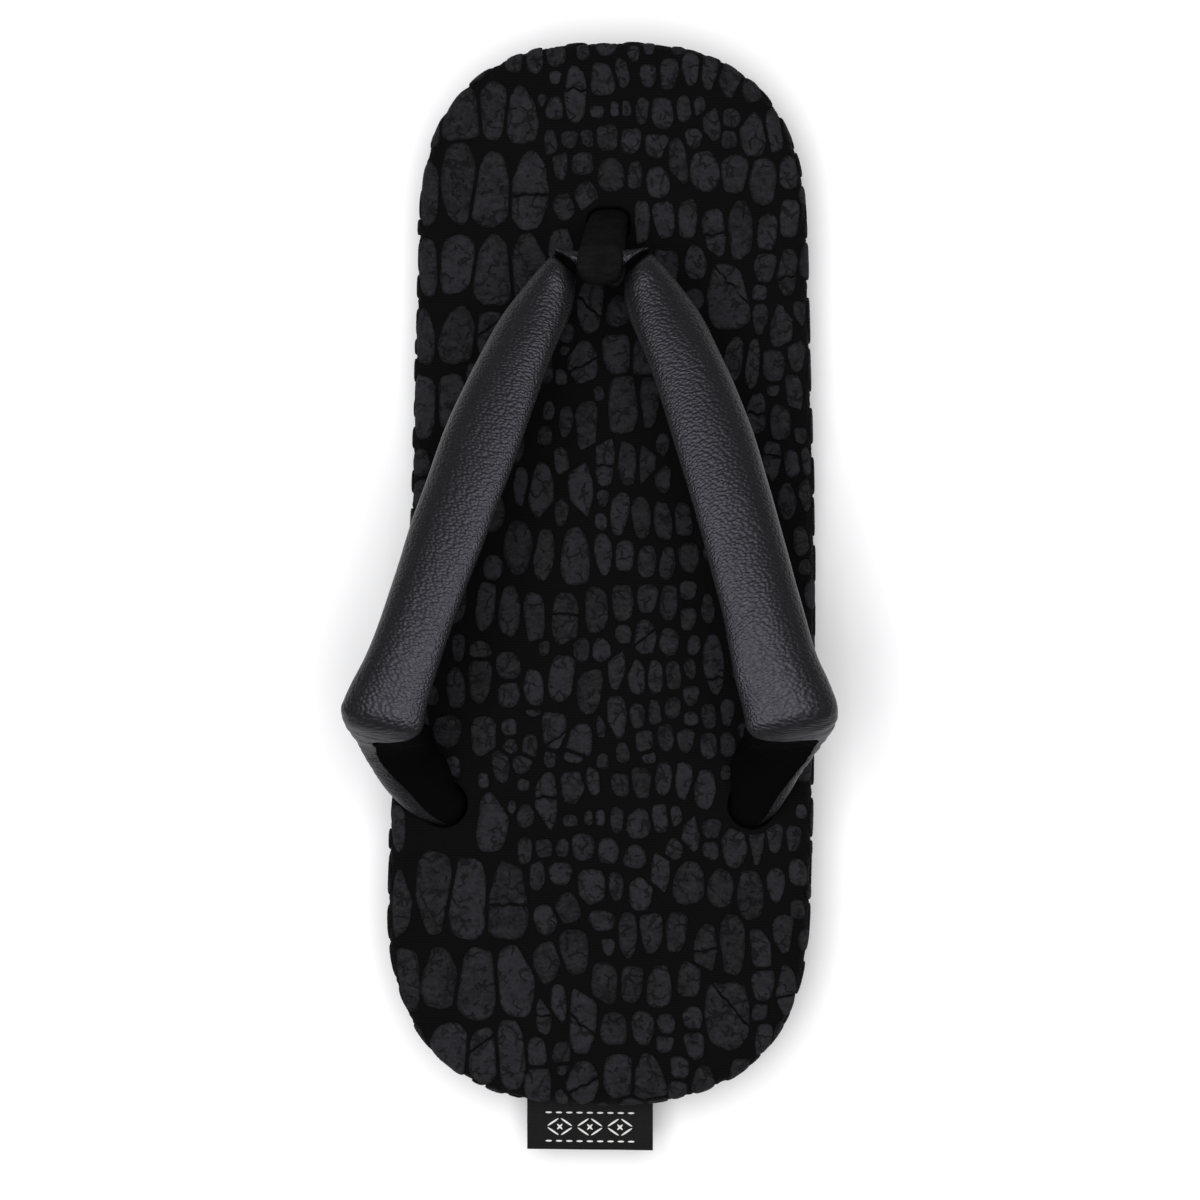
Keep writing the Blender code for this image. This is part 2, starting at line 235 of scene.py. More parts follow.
def make_piece(name, bm, material, nodes=(), sharp=None):
    """The finished mesh as an object in metres that rides on the sandal."""
    bmesh.ops.scale(bm, vec=(MM, MM, MM), verts=bm.verts)
    bmesh.ops.recalc_face_normals(bm, faces=bm.faces)
    mesh = bpy.data.meshes.new(name)
    bm.to_mesh(mesh)
    bm.free()
    mesh.shade_smooth()
    if sharp:
        mesh.set_sharp_from_angle(angle=math.radians(sharp))
    mesh.materials.append(material)
    piece = bpy.data.objects.new(name, mesh)
    bpy.context.scene.collection.objects.link(piece)
    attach(piece, "root")
    if nodes:
        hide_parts(*nodes)
    return piece


def carve(piece, bm):
    """Takes the bmesh's closed shape, in millimetres, out of the piece's mesh."""
    bmesh.ops.scale(bm, vec=(MM, MM, MM), verts=bm.verts)
    bmesh.ops.recalc_face_normals(bm, faces=bm.faces)
    mesh = bpy.data.meshes.new("cutter")
    bm.to_mesh(mesh)
    bm.free()
    cutter = bpy.data.objects.new("cutter", mesh)
    bpy.context.scene.collection.objects.link(cutter)
    modifier = piece.modifiers.new("Carve", "BOOLEAN")
    modifier.object = cutter
    modifier.operation = "DIFFERENCE"
    modifier.solver = "EXACT"
    bpy.context.view_layer.update()
    graph = bpy.context.evaluated_depsgraph_get()
    carved = bpy.data.meshes.new_from_object(piece.evaluated_get(graph), depsgraph=graph)
    piece.modifiers.remove(modifier)
    plain = piece.data
    piece.data = carved
    carved.name = piece.name
    bpy.data.meshes.remove(plain)
    bpy.data.objects.remove(cutter, do_unlink=True)


def level_ring(x, y, z, width, depth, fullness, count):
    """Points of a level superellipse, as rows of x, y, z."""
    turn = np.linspace(0, 2 * np.pi, count, endpoint=False)
    cos, sin = np.cos(turn), np.sin(turn)
    across = np.sign(cos) * np.abs(cos) ** (2 / fullness)
    along = np.sign(sin) * np.abs(sin) ** (2 / fullness)
    return np.column_stack((x + across * width / 2, y + along * depth / 2, np.full(count, z)))


def sole_layer(bm, rings, lift, count=420, slice_step=4.0):
    """A layer of the sole: closed rings of (inset, height) round its edge, points raised by lift(y, z)."""
    stack = []
    for inset, height in rings:
        points = Edge(count, inset).points
        stack.append(np.column_stack((points, np.full(count, height))))
    rolled(bm, stack)
    for y in np.arange(HEEL_Y + slice_step, TOE_Y, slice_step):
        slice_all(bm, (0, y, 0), (0, 1, 0))
    for vert in bm.verts:
        vert.co.z += lift(vert.co.y, vert.co.z)


def ruffle(bm, depth):
    """Makes a smooth surface finely uneven, as knitted cloth is."""
    bmesh.ops.recalc_face_normals(bm, faces=bm.faces)
    bm.normal_update()
    for vert in bm.verts:
        vert.co += vert.normal * noise.noise(vert.co / 1.1) * depth


# ---- Finishes ----


def socket(sockets, key):
    """A node's socket by its place or its name, leaving out those that its settings switch off."""
    if isinstance(key, int):
        return sockets[key]
    return next(s for s in sockets if s.enabled and s.name == key)


class Number:
    """A number in a shader tree. Python's arithmetic on it adds Math nodes."""

    def __init__(self, finish, output):
        self.finish, self.output = finish, output

    def maths(self, operation, first, second):
        return self.finish.node("ShaderNodeMath", {"operation": operation}, {0: first, 1: second})

    def __add__(self, other):
        return self.maths("ADD", self, other)

    def __radd__(self, other):
        return self.maths("ADD", other, self)

    def __sub__(self, other):
        return self.maths("SUBTRACT", self, other)

    def __rsub__(self, other):
        return self.maths("SUBTRACT", other, self)

    def __mul__(self, other):
        return self.maths("MULTIPLY", self, other)

    def __rmul__(self, other):
        return self.maths("MULTIPLY", other, self)


class Finish:
    """A material, built from its shader's fixed values and then from the nodes that feed it."""

    def __init__(self, name, fixed):
        self.material = bpy.data.materials.new(name)
        self.material.use_nodes = True
        self.tree = self.material.node_tree
        self.tree.nodes.clear()
        output = self.tree.nodes.new("ShaderNodeOutputMaterial")
        self.shader = self.tree.nodes.new("ShaderNodeBsdfPrincipled")
        self.tree.links.new(self.shader.outputs["BSDF"], output.inputs["Surface"])
        self.feed(self.shader, fixed)

    def feed(self, node, sockets):
        for key, value in sockets.items():
            target = socket(node.inputs, key)
            if isinstance(value, Number):
                self.tree.links.new(value.output, target)
            else:
                target.default_value = value

    def node(self, kind, settings=None, sockets=None, out=None):
        """A node's output, by name or its first one, after its settings and sockets are set."""
        node = self.tree.nodes.new(kind)
        for key, value in (settings or {}).items():
            setattr(node, key, value)
        self.feed(node, sockets or {})
        if out is None:
            out = next(s.name for s in node.outputs if s.enabled)
        return Number(self, socket(node.outputs, out))

    def place(self, stretch=(1, 1, 1), turn=0.0, uv=None):
        """Where a pattern is read, in millimetres: the object's place or its lay, stretched and turned."""
        if uv:
            start = self.node("ShaderNodeUVMap", {"uv_map": uv})
        else:
            start = self.node("ShaderNodeTexCoord", out="Object")
        scale = tuple(1 / (MM * s) for s in stretch)
        return self.node(
            "ShaderNodeMapping",
            {"vector_type": "POINT"},
            {"Vector": start, "Scale": scale, "Rotation": (0, 0, math.radians(turn))},
        )

    def noise(self, place, size, detail=2.0, roughness=0.5):
        """Cloudy noise from about 0 to 1, with blotches of about size millimetres."""
        return self.node(
            "ShaderNodeTexNoise",
            {"noise_dimensions": "3D"},
            {"Vector": place, "Scale": 1 / size, "Detail": detail, "Roughness": roughness},
        )

    def bent(self, place, guide, scale, detail, far):
        """A place pushed about by cloudy noise that is read at guide, up to far along each axis."""
        clouds = {"Vector": guide, "Scale": scale, "Detail": detail}
        push = self.node("ShaderNodeTexNoise", {}, clouds, out="Color")
        return self.node("ShaderNodeVectorMath", {"operation": "MULTIPLY_ADD"}, {0: push, 1: far, 2: place})

    def mix(self, share, first, second):
        """Two colours mixed: the first where share is 0, the second where it is 1."""
        return self.node("ShaderNodeMix", {"data_type": "RGBA"}, {"Factor": share, "A": first, "B": second})

    def tones(self, share, colour, low, high):
        """One colour, from low times to high times its strength."""
        return self.mix(share, tinted(colour, low), tinted(colour, high))

    def spread(self, value, low, high):
        """Runs smoothly from 0 where value is low to 1 where it is high. Low may be the larger of the two."""
        return self.node(
            "ShaderNodeMapRange",
            {"interpolation_type": "SMOOTHSTEP"},
            {"Value": value, "From Min": low, "From Max": high},
        )

    def bump(self, height, depth):
        """The surface's normal with height, from 0 to 1, standing up to depth millimetres."""
        return self.node("ShaderNodeBump", {}, {"Height": height, "Distance": depth * MM, "Strength": 1.0})

    def done(self, sockets):
        self.feed(self.shader, sockets)
        return self.material


def tinted(colour, share):
    return (*(c * share for c in colour), 1.0)


def knit_cloth(look):
    """The cloth's black ground: fine ribs across the sole."""
    finish = Finish("cloth ground", {"Specular IOR Level": 0.08})
    place = finish.place()
    ribs = finish.node(
        "ShaderNodeTexWave",
        {"wave_type": "BANDS", "bands_direction": "Y", "wave_profile": "SIN"},
        {"Vector": place, "Scale": 0.314 / (look.rib_pitch / MM), "Distortion": 0.6, "Detail Scale": 1.5},
        out="Fac",
    )
    loops = finish.node(
        "ShaderNodeTexVoronoi",
        {"feature": "F1"},
        {"Vector": place, "Scale": 1.6},
        out="Distance",
    )
    relief = ribs * 0.7 + (1 - loops) * 0.3
    clouds = finish.noise(place, 6.0)
    share = finish.spread(relief * 0.7 + clouds * 0.3, 0.2, 0.9)
    return finish.done(
        {
            "Base Color": finish.tones(share, look.ground_colour, 0.6, 1.25),
            "Roughness": 0.85 + clouds * 0.1,
            "Normal": finish.bump(relief, 0.14),
        }
    )


def printed_scale(look):
    """A raised scale of the cloth: matt charcoal, blotchy and cracked, with painted shade that darkens it
    towards its foot and along its cracks.
    """
    finish = Finish("scale print", {"Specular IOR Level": 0.14})
    place = finish.place()
    tone = finish.node("ShaderNodeAttribute", {"attribute_name": "tone"}, out="Fac")
    # The rise attribute holds the level of painted shade, lowest at the scale's foot
    rise = finish.node("ShaderNodeAttribute", {"attribute_name": "rise"}, out="Fac")
    mottle = finish.noise(place, 0.9, 5.0, 0.7)
    patches = finish.noise(place, 2.6, 3.0, 0.55)
    bent = finish.bent(place, place, 0.5, 2.0, (2.4, 2.4, 2.4))
    cells = finish.node(
        "ShaderNodeTexVoronoi",
        {"feature": "DISTANCE_TO_EDGE"},
        {"Vector": bent, "Scale": 0.3},
        out="Distance",
    )
    whole = finish.spread(finish.noise(place, 3.2, 2.0), 0.43, 0.54)
    # The cracks are relief in the bump, and their colour is darkened as painted shade
    cracks_and_shade = finish.spread(cells, 0.0, 0.11) * (1 - whole) + whole
    strokes = finish.noise(finish.place((2.4, 0.8, 1.0)), 1.2, 3.0, 0.6)
    foot = finish.spread(rise + mottle + patches * 0.8 - 0.95, 0.0, 0.85)
    level = finish.spread(mottle * 0.4 + patches * 0.3 + strokes * 0.25 + tone * 0.1, 0.36, 0.68)
    body = finish.tones(level, look.scale_colour, 0.45, 2.0)
    return finish.done(
        {
            # Painted shade darkens the colour at the scale's foot and along its cracks
            "Base Color": finish.mix(foot * (cracks_and_shade * 0.75 + 0.25), tinted(look.scale_colour, 0.16), body),
            "Roughness": 0.74 + mottle * 0.16,
            "Normal": finish.bump(mottle * 0.8 + patches * 0.9 + strokes * 0.6 + cracks_and_shade * 0.7, 0.62),
        }
    )


def soft_leather(look):
    """Black leather with a fine beaded grain that runs into wavy wrinkles across the strap."""
    finish = Finish(
        "strap leather", {"Specular IOR Level": 0.35, "IOR": 1.5, "Specular Tint": (0.87, 0.85, 1.0, 1.0)}
    )
    grain = look.grain_size / MM
    lay = finish.place(uv="lay")
    soft = finish.noise(lay, 3.0, 2.0)
    rows = finish.place((1.3, 1.0, 1.0), look.grain_lean, uv="lay")
    bent = finish.bent(rows, lay, 0.45, 1.0, (0.7, 0.7, 0.0))
    pebbles = finish.node(
        "ShaderNodeTexVoronoi",
        {"feature": "SMOOTH_F1", "voronoi_dimensions": "2D"},
        {"Vector": bent, "Scale": 1 / grain, "Smoothness": 0.6, "Randomness": 0.75},
        out="Distance",
    )
    wrinkles = finish.noise(finish.place((3.0, 1.0, 1.0), look.grain_lean, uv="lay"), 0.64, 1.0, 0.5)
    beads = finish.spread(pebbles, 0.75, 0.05)
    fine = finish.noise(lay, 0.35, 1.0)
    relief = beads * 0.5 + wrinkles * 0.45 + fine * 0.12 + soft * 0.1
    return finish.done(
        {
            # The colour is darker between the grain's beads: painted shade in its hollows
            "Base Color": finish.tones(beads, look.colour, 0.3, 1.2),
            "Roughness": look.roughness + soft * 0.1 - beads * 0.1,
            "Normal": finish.bump(relief, look.grain_depth / MM),
        }
    )


def lining_and_shade(look):
    """The straps' black lining, a short dull pile. It is also laid as painted shade in the fold in front and
    over the rear faces behind the fold.
    """
    finish = Finish("strap lining and shade", {"Specular IOR Level": 0.02})
    pile = finish.noise(finish.place(uv="lay"), 0.4, 3.0, 0.6)
    return finish.done(
        {
            "Base Color": finish.tones(pile, look.lining_and_shade_colour, 0.6, 1.6),
            "Roughness": 0.92 + pile * 0.08,
            "Normal": finish.bump(pile, 0.15),
        }
    )


def suede(look):
    """Napped black suede."""
    finish = Finish("loop suede", {"Specular IOR Level": 0.05})
    place = finish.place()
    nap = finish.noise(place, 0.35, 4.0, 0.7)
    strokes = finish.noise(finish.place((3.0, 1.2, 3.0)), 1.4, 2.0)
    share = finish.spread(nap * 0.6 + strokes * 0.4, 0.3, 0.7)
    return finish.done(
        {
            "Base Color": finish.tones(share, look.colour, 0.6, 1.8),
            "Roughness": 0.9 + strokes * 0.1,
            "Normal": finish.bump(nap + strokes * 0.6, 0.16),
        }
    )


def sponge_rubber(look):
    """Black foamed rubber with a dull skin and small pits."""
    finish = Finish("sponge rubber", {"Specular IOR Level": 0.25})
    place = finish.place()
    pits = finish.node(
        "ShaderNodeTexVoronoi", {"feature": "F1"}, {"Vector": place, "Scale": 1.3}, out="Distance"
    )
    skin = finish.noise(place, 9.0, 4.0)
    open_pits = finish.spread(pits, 0.08, 0.3)
    return finish.done(
        {
            "Base Color": finish.tones(skin, look.rubber_colour, 0.7, 1.5),
            "Roughness": 0.62 + skin * 0.2,
            "Normal": finish.bump(open_pits * 0.5 + finish.noise(place, 0.9, 3.0) * 0.5, 0.18),
        }
    )


def woven_ribbon(look):
    """Black satin ribbon: a tight weave with a soft gloss."""
    finish = Finish("label ribbon", {"Specular IOR Level": 0.12})
    place = finish.place()
    weft = finish.node(
        "ShaderNodeTexWave",
        {"wave_type": "BANDS", "bands_direction": "Y"},
        {"Vector": place, "Scale": 0.9, "Distortion": 0.2},
        out="Fac",
    )
    warp = finish.node(
        "ShaderNodeTexWave",
        {"wave_type": "BANDS", "bands_direction": "X"},
        {"Vector": place, "Scale": 1.3, "Distortion": 0.2},
        out="Fac",
    )
    weave = weft * warp
    return finish.done(
        {
            "Base Color": finish.tones(weave, look.colour, 0.7, 1.6),
            "Roughness": 0.48 + finish.noise(place, 2.0) * 0.12,
            "Normal": finish.bump(weave, 0.06),
        }
    )


def cotton_thread(look):
    finish = Finish("label thread", {"Specular IOR Level": 0.3, "Sheen Weight": 0.2})
    place = finish.place()
    twist = finish.noise(place, 0.25, 2.0)
    return finish.done(
        {
            "Base Color": finish.tones(twist, look.thread_colour, 0.75, 1.0),
            "Roughness": 0.7 + twist * 0.1,
            "Normal": finish.bump(twist, 0.05),
        }
    )


def studio_paper(look):
    finish = Finish("studio paper", {"Roughness": 0.85, "Specular IOR Level": 0.2})
    return finish.done({"Base Color": (*look.floor_colour, 1.0)})


# ---- The printed cloth's raised scales ----

# The print's second repeat, a little wider, longer and more askew than the first
REPEAT_WIDEN, REPEAT_LEAN, REPEAT_X = 1.04, -0.117, 7.63
REPEAT_LENGTHEN, REPEAT_Y = 1.052, -182.8

# One repeat of the print, from the toe down: each scale's middle x and y, width and height
PRINT = (
    (-15.8, 135.2, 4.2, 9), (-10.5, 135, 5, 5), (-3.8, 136, 3.2, 4), (2, 136.5, 5, 3), (8.8, 135.5, 3, 4),
    (20, 136.5, 3.5, 3), (-34.5, 121.5, 9, 13), (-26.5, 122, 6.8, 14.5), (-19.3, 121, 7.8, 14),
    (-10.8, 130, 3, 3.2), (-14.2, 124.3, 2.3, 4), (-11.2, 122.7, 4.5, 5.8), (-5.8, 126, 5.4, 13.5),
    (1, 129.5, 6, 7.7), (5.9, 131, 3.5, 7.3), (12.5, 130, 4.5, 5.6), (17.5, 130.5, 4.7, 7.5),
    (23, 131.7, 4.2, 8.2), (27.7, 131, 4.3, 9), (32.5, 129.2, 5.3, 9.3), (38, 126.8, 5, 6.7),
    (-0.5, 121.6, 3.6, 3), (4, 122.3, 2.4, 3.7), (6.8, 122.3, 2.4, 3.9), (10.8, 121.7, 3.5, 6.6),
    (15.8, 121, 5.9, 7.6), (21.2, 122.1, 4.2, 6.9), (25, 122.7, 3.2, 5), (28, 118.5, 4.3, 8.6),
    (33.1, 119.7, 4.7, 4.9), (32.4, 114.7, 4.1, 4.6), (38.2, 115.6, 6.4, 10.8), (43.5, 116.7, 3.8, 10.7),
    (48, 117.7, 3.7, 7.2), (52.3, 117.5, 3.3, 6.1), (52.6, 109.6, 4.4, 6.5), (-42.2, 119.3, 3.8, 11.4),
    (-43, 102, 5, 16), (-35.3, 104.5, 9, 19.5), (-27.3, 103, 9.5, 19), (-17.7, 102.7, 9.5, 18.5),
    (-12.2, 114, 3.4, 7), (-7.5, 115, 4.1, 4.5), (-3, 115.2, 3.3, 4.4), (2, 115.3, 5.6, 6.5),
    (7.8, 114.4, 5.2, 6.2), (14.1, 113.2, 5.4, 5.8), (19.6, 109.3, 4.7, 11.4), (23.7, 115, 4.1, 5.1),
    (-9.9, 108.7, 3.7, 7.3), (-4.2, 109, 5.6, 5.6), (2.9, 106.1, 6.8, 8.4), (8.7, 106, 3.8, 7.1),
    (14.5, 104.3, 5.8, 8), (26.2, 107, 7.3, 10.1), (33.7, 105.9, 6.4, 9.3), (40.6, 104.2, 6.8, 11.6),
    (47, 106.4, 4.4, 8.2), (-9, 98.2, 5.6, 7.1), (-3.4, 100.8, 6, 7.8), (4.5, 98, 6, 5),
    (10.3, 94.5, 4.4, 10.5), (16.1, 95, 5.4, 9.5), (21.9, 95.3, 4.9, 9.5), (28.7, 91.5, 5.7, 12),
    (35, 92.3, 6.2, 14), (41.7, 91.5, 5, 9.5), (47.2, 95, 4.6, 9.5), (51.4, 101, 3.4, 4.8),
    (-43.5, 83.5, 5, 15), (-36, 84.3, 8.5, 14.5), (-27, 82.8, 9.3, 17), (-18.1, 83.5, 9.1, 17),
    (-9.9, 88, 6.6, 10), (-2.9, 90.5, 6.6, 11), (3.5, 83.3, 6.7, 9.9), (9.9, 82.9, 5.8, 9.1),
    (16.4, 82.6, 6.1, 10), (23.8, 84.4, 5.6, 8.8), (32, 75.8, 10.2, 15.8), (23.6, 75, 4.8, 5.7),
    (23.3, 68.7, 4.8, 6.7), (-8.2, 77.8, 3.9, 10), (-12, 75.4, 3.8, 8.6), (4.5, 72.5, 6.3, 7.8),
    (11.4, 72.5, 5.4, 8.2), (17.1, 73.6, 4.4, 5.3), (16.2, 69, 4.2, 4.4), (39.8, 76.7, 3.8, 4.6),
    (40, 70.2, 4, 8), (41.2, 83, 5.6, 8), (46.6, 81.7, 5, 11.5), (45.3, 68.2, 5.8, 12), (49.8, 71.5, 3, 6),
    (48.9, 60.8, 4.3, 8.6), (-44.3, 66, 5.2, 14), (-36, 66.5, 9, 14.5), (-27.6, 65.8, 7.4, 13.4),
    (-21, 66.3, 7.2, 16.2), (-2.6, 74.9, 6.7, 16.6), (-14.7, 66.8, 4.8, 7.1), (-8.7, 66.8, 4.3, 5.7),
    (-8.9, 62.7, 2.7, 2.9), (-15.3, 58.7, 6.7, 9), (-9.9, 55.9, 3.1, 4.3), (-4.5, 59.7, 7.7, 10.5),
    (4.2, 61.3, 7, 10.5), (11.6, 61.1, 7.3, 11.4), (19.2, 63.5, 4.6, 5.5), (17.9, 57.8, 4.8, 5.2),
    (24.4, 60.2, 5.2, 7.6), (33.3, 60, 4.8, 11.5), (38.2, 59, 3.8, 12.5), (43.3, 58.7, 6, 8.5),
    (48.3, 51.7, 4, 9.6), (43.2, 52.3, 3.2, 3), (-44.5, 48.5, 6.2, 15.5), (-37.5, 50, 6.5, 14),
    (5.8, 49, 7.5, 15.5), (12.3, 50, 5, 14), (39, 46.6, 5, 9.8), (45, 44.4, 5.2, 9.5), (50, 41, 3, 4),
    (-45.3, 34.5, 5, 7), (-44.8, 26.5, 5, 8), (-13, 47.5, 3, 5), (-14, 41.3, 3.8, 5), (-8.7, 44.7, 3.6, 8),
    (-3.5, 43.5, 5.5, 12.6), (-9.8, 34.8, 3.8, 7.5), (1.3, 34.8, 5, 12.6), (6.6, 34, 5, 11),
    (11.8, 34, 4.2, 11.5), (15.6, 38.8, 3.5, 6), (15.6, 30.2, 4.2, 7), (42.9, 34.8, 4.6, 9.8),
    (47.9, 34, 4, 7.3), (51.3, 34.5, 2.5, 7), (-20, 28.5, 3.6, 10), (-14.8, 27.3, 6.5, 14.5),
    (-9.7, 22.7, 3.6, 8.5), (-5, 27.8, 6.2, 15), (0.6, 25.4, 3, 4.5), (4.8, 21.5, 4.8, 10.4),
    (10.4, 20.4, 4.6, 10.5), (15.7, 19.8, 4.4, 9.6), (20.8, 20.3, 4.2, 8.5), (46.8, 24.5, 4.6, 9.3),
    (51, 26, 3, 8), (-20.6, 13, 7.2, 13), (-14.2, 11.4, 5.3, 13), (-6.3, 11, 7, 14.2),
    (0.8, 11.4, 4.5, 10.5), (0.2, 19.6, 3.2, 4.4), (6.1, 11, 4.8, 8), (11.7, 9.8, 4.8, 8),
    (16.8, 9.2, 4, 8), (22.2, 10.6, 5, 7.6), (49.9, 14.8, 4, 7.6), (51, 8.2, 3, 4.2), (-27, 8, 5, 6.5),
    (-28.8, -1.4, 5, 12.5), (-22.8, -2.6, 5.6, 12.6), (-16.4, -4.6, 5.2, 12.8), (-8.7, -4.8, 6.6, 13.2),
    (-0.9, -2.3, 5.8, 11.6), (5.8, -0.8, 5.6, 9.3), (6, -8.4, 4.5, 5.2), (11.8, 0.4, 5.2, 7.2),
    (17.2, -0.6, 4.6, 8.8), (22, 2.4, 4.2, 5), (22.1, -4.8, 4, 6), (27, -2.2, 3.6, 7.4), (-13.9, -12, 3, 4),
    (-4.6, -12.5, 4, 6.4), (0.5, -12.7, 4.8, 6.2), (11.5, -9.2, 5.6, 8.4), (17.3, -10.4, 5, 7.2),
    (23.5, -11.2, 3.5, 5), (28.5, -15.7, 5.3, 15), (-30, -12.4, 5.6, 4.6), (-30, -20.3, 5.8, 11),
    (-22.9, -16.4, 6.2, 7), (-22.7, -23.7, 5.6, 6.6), (-16.4, -22, 5, 9.6), (-16.5, -28, 3.8, 2.2),
    (-9.5, -19.5, 6.4, 11.5), (-2.6, -23, 6.4, 10.8), (4.3, -17.2, 4.6, 10.4), (9.2, -19.3, 4.4, 8.8),
    (14, -19.2, 4, 8.4), (18.4, -18.8, 4, 7.2), (22.6, -17.2, 3, 5), (22.9, -23.9, 4, 5.2),
    (4.4, -29.3, 4.8, 10.8), (9.5, -29, 4, 6.8), (13.9, -28, 3.2, 6.8), (18.4, -26.8, 4, 5.4),
    (23, -29.6, 3.8, 3.6), (27.3, -29, 3.8, 6.4), (32, -28, 3.6, 7), (0.5, -31.6, 2.6, 5.6),
    (11.3, -35.2, 4.4, 6.4), (16.6, -34.2, 4.2, 6.8), (21.6, -35, 4.4, 6), (27.4, -36.2, 4.4, 6.6),
    (32, -36, 4, 6), (-11.3, -32.5, 6.2, 9.5), (-4.8, -35.3, 6.6, 9), (-17.3, -36.6, 4, 6.4),
    (-28.9, -34, 6.5, 9.8), (-22.5, -31.8, 4, 4.3), (-22.2, -36.7, 3.8, 4.6), (-38, -33, 7, 8.6),
    (-36, -22, 4.6, 10), (-35.5, -12, 3.2, 7),
)

# Where a line splits the scale it crosses: a point on it and how far it leans up to the right, in degrees
SPLITS = (
    (-17.7, 101.5, 0), (-5.8, 127, 0), (28.7, 91.3, 10), (46.5, 80.5, 15), (39, 46.2, 0), (42.8, 36.3, -15),
    (31.8, 80, -48), (-8.8, -3.6, -4), (11.5, -9.2, 38), (28.5, -19.6, 8), (1.3, 33.8, 0), (-11.3, -35, 36),
    (-12, 75.4, 0), (-26.9, 69.2, 35), (-4.5, 58.9, 27), (-4.3, 74.6, -40),
)

# Sizes of the scales that fill the parts the chart leaves open: width, height
FILLERS = ((7.0, 10.0), (5.2, 7.6), (4.0, 5.6), (3.0, 4.2))
# Where fillers are tried: from side to side, in steps of this share of their size, and past the board's ends
FILL_FROM_X, FILL_TO_X, FILL_STEP, FILL_BEYOND = -66, 68, 0.45, 10
# Least gap between a filler and its neighbours, and how far off in y a neighbour may be
FILL_GAP, FILL_NEAR_Y = 0.85, 20
# How square the scales count as where they are kept apart: 2 is an ellipse and more is squarer
PAD_FULLNESS = 2.6
# How far apart two scales' middles are at most where one may trim the other
NEAR_X, NEAR_Y = 13, 22
# Half the gap where a line splits a scale, the least area worth keeping, and how deep a scale's foot is sunk
SPLIT_HALF_GAP, LEAST_AREA, FOOT_DEPTH = 0.15, 2.2, 0.25
# A scale's terraces from its foot up: inset, share of its rise, and the level of painted shade that its
# finish reads, darkest at the foot
TERRACES = ((0.0, 0.5, 0.0), (0.24, 0.74, 0.42), (0.65, 0.92, 0.78), (1.3, 1.0, 1.0))
# Corners that turn more degrees than this are rounded, by a radius or, if less, a share of the scale's size
CORNER_TURN, CORNER_RADIUS, CORNER_SHARE = 32, 0.55, 0.14
# How far the print goes down the board's side, and into how many parts its bend over the shoulder is cut
PRINT_DROP, SHOULDER_CUTS = 4.3, 5
# Cloth left bare round each hole
HOLE_MARGIN = 1.4


class Pad(NamedTuple):
    """One scale on the flat cloth, before it is wrapped over the board."""

    x: float
    y: float
    width: float
    height: float


def reach(pad, angle):
    """How far a scale goes from its middle in one direction."""
    across = abs(math.cos(angle)) / (pad.width / 2)
    along = abs(math.sin(angle)) / (pad.height / 2)
    return (across**PAD_FULLNESS + along**PAD_FULLNESS) ** (-1 / PAD_FULLNESS)


class Cloth:
    """The flat cloth and the way it wraps over the board's rounded edge."""

    def __init__(self):
        self.edge = Edge(2400, EDGE_RADIUS)
        self.wall_starts = EDGE_RADIUS * math.pi / 2
        self.ends = self.wall_starts + PRINT_DROP

    def nearest(self, flat):
        """(distance outside the shoulder, outward direction) of each flat point."""
        flat = np.atleast_2d(flat)
        index = np.empty(len(flat), int)
        for start in range(0, len(flat), 2000):
            part = flat[start : start + 2000]
            gaps = ((part[:, None, :] - self.edge.points[None]) ** 2).sum(axis=2)
            index[start : start + 2000] = gaps.argmin(axis=1)
        out = self.edge.out[index]
        return ((flat - self.edge.points[index]) * out).sum(axis=1), out

    def wrap(self, points):
        """Flat x, y and height of each point, turned over the edge and lifted to the board."""
        flat, height = points[:, :2], points[:, 2]
        distance, out = self.nearest(flat)
        over = np.maximum(distance, 0.0)
        angle = np.minimum(over / EDGE_RADIUS, math.pi / 2)
        down = np.maximum(over - self.wall_starts, 0.0)
        foot = flat - over[:, None] * out
        spot = foot + out * ((EDGE_RADIUS + height) * np.sin(angle))[:, None]
        z = board_top_z(spot[:, 1]) - EDGE_RADIUS + (EDGE_RADIUS + height) * np.cos(angle) - down
        return np.column_stack((spot, z))


def strap_holes():
    """Middle of each hole through the board, and the radius round it that the print leaves bare."""
    middle = strap_x(SIDE_HOLE_Y)
    return (
        (middle - SIDE_HOLE_OUT, SIDE_HOLE_Y, SIDE_HOLE_RADIUS + HOLE_MARGIN),
        (middle + SIDE_HOLE_OUT, SIDE_HOLE_Y, SIDE_HOLE_RADIUS + HOLE_MARGIN),
        (strap_x(TOE_HOLE_Y), TOE_HOLE_Y, TOE_HOLE_WIDTH / 2 + HOLE_MARGIN),
    )


def pulled(x, y):
    """Where a point of the print comes in its second repeat."""
    return REPEAT_WIDEN * x + REPEAT_LEAN * y + REPEAT_X, REPEAT_LENGTHEN * y + REPEAT_Y


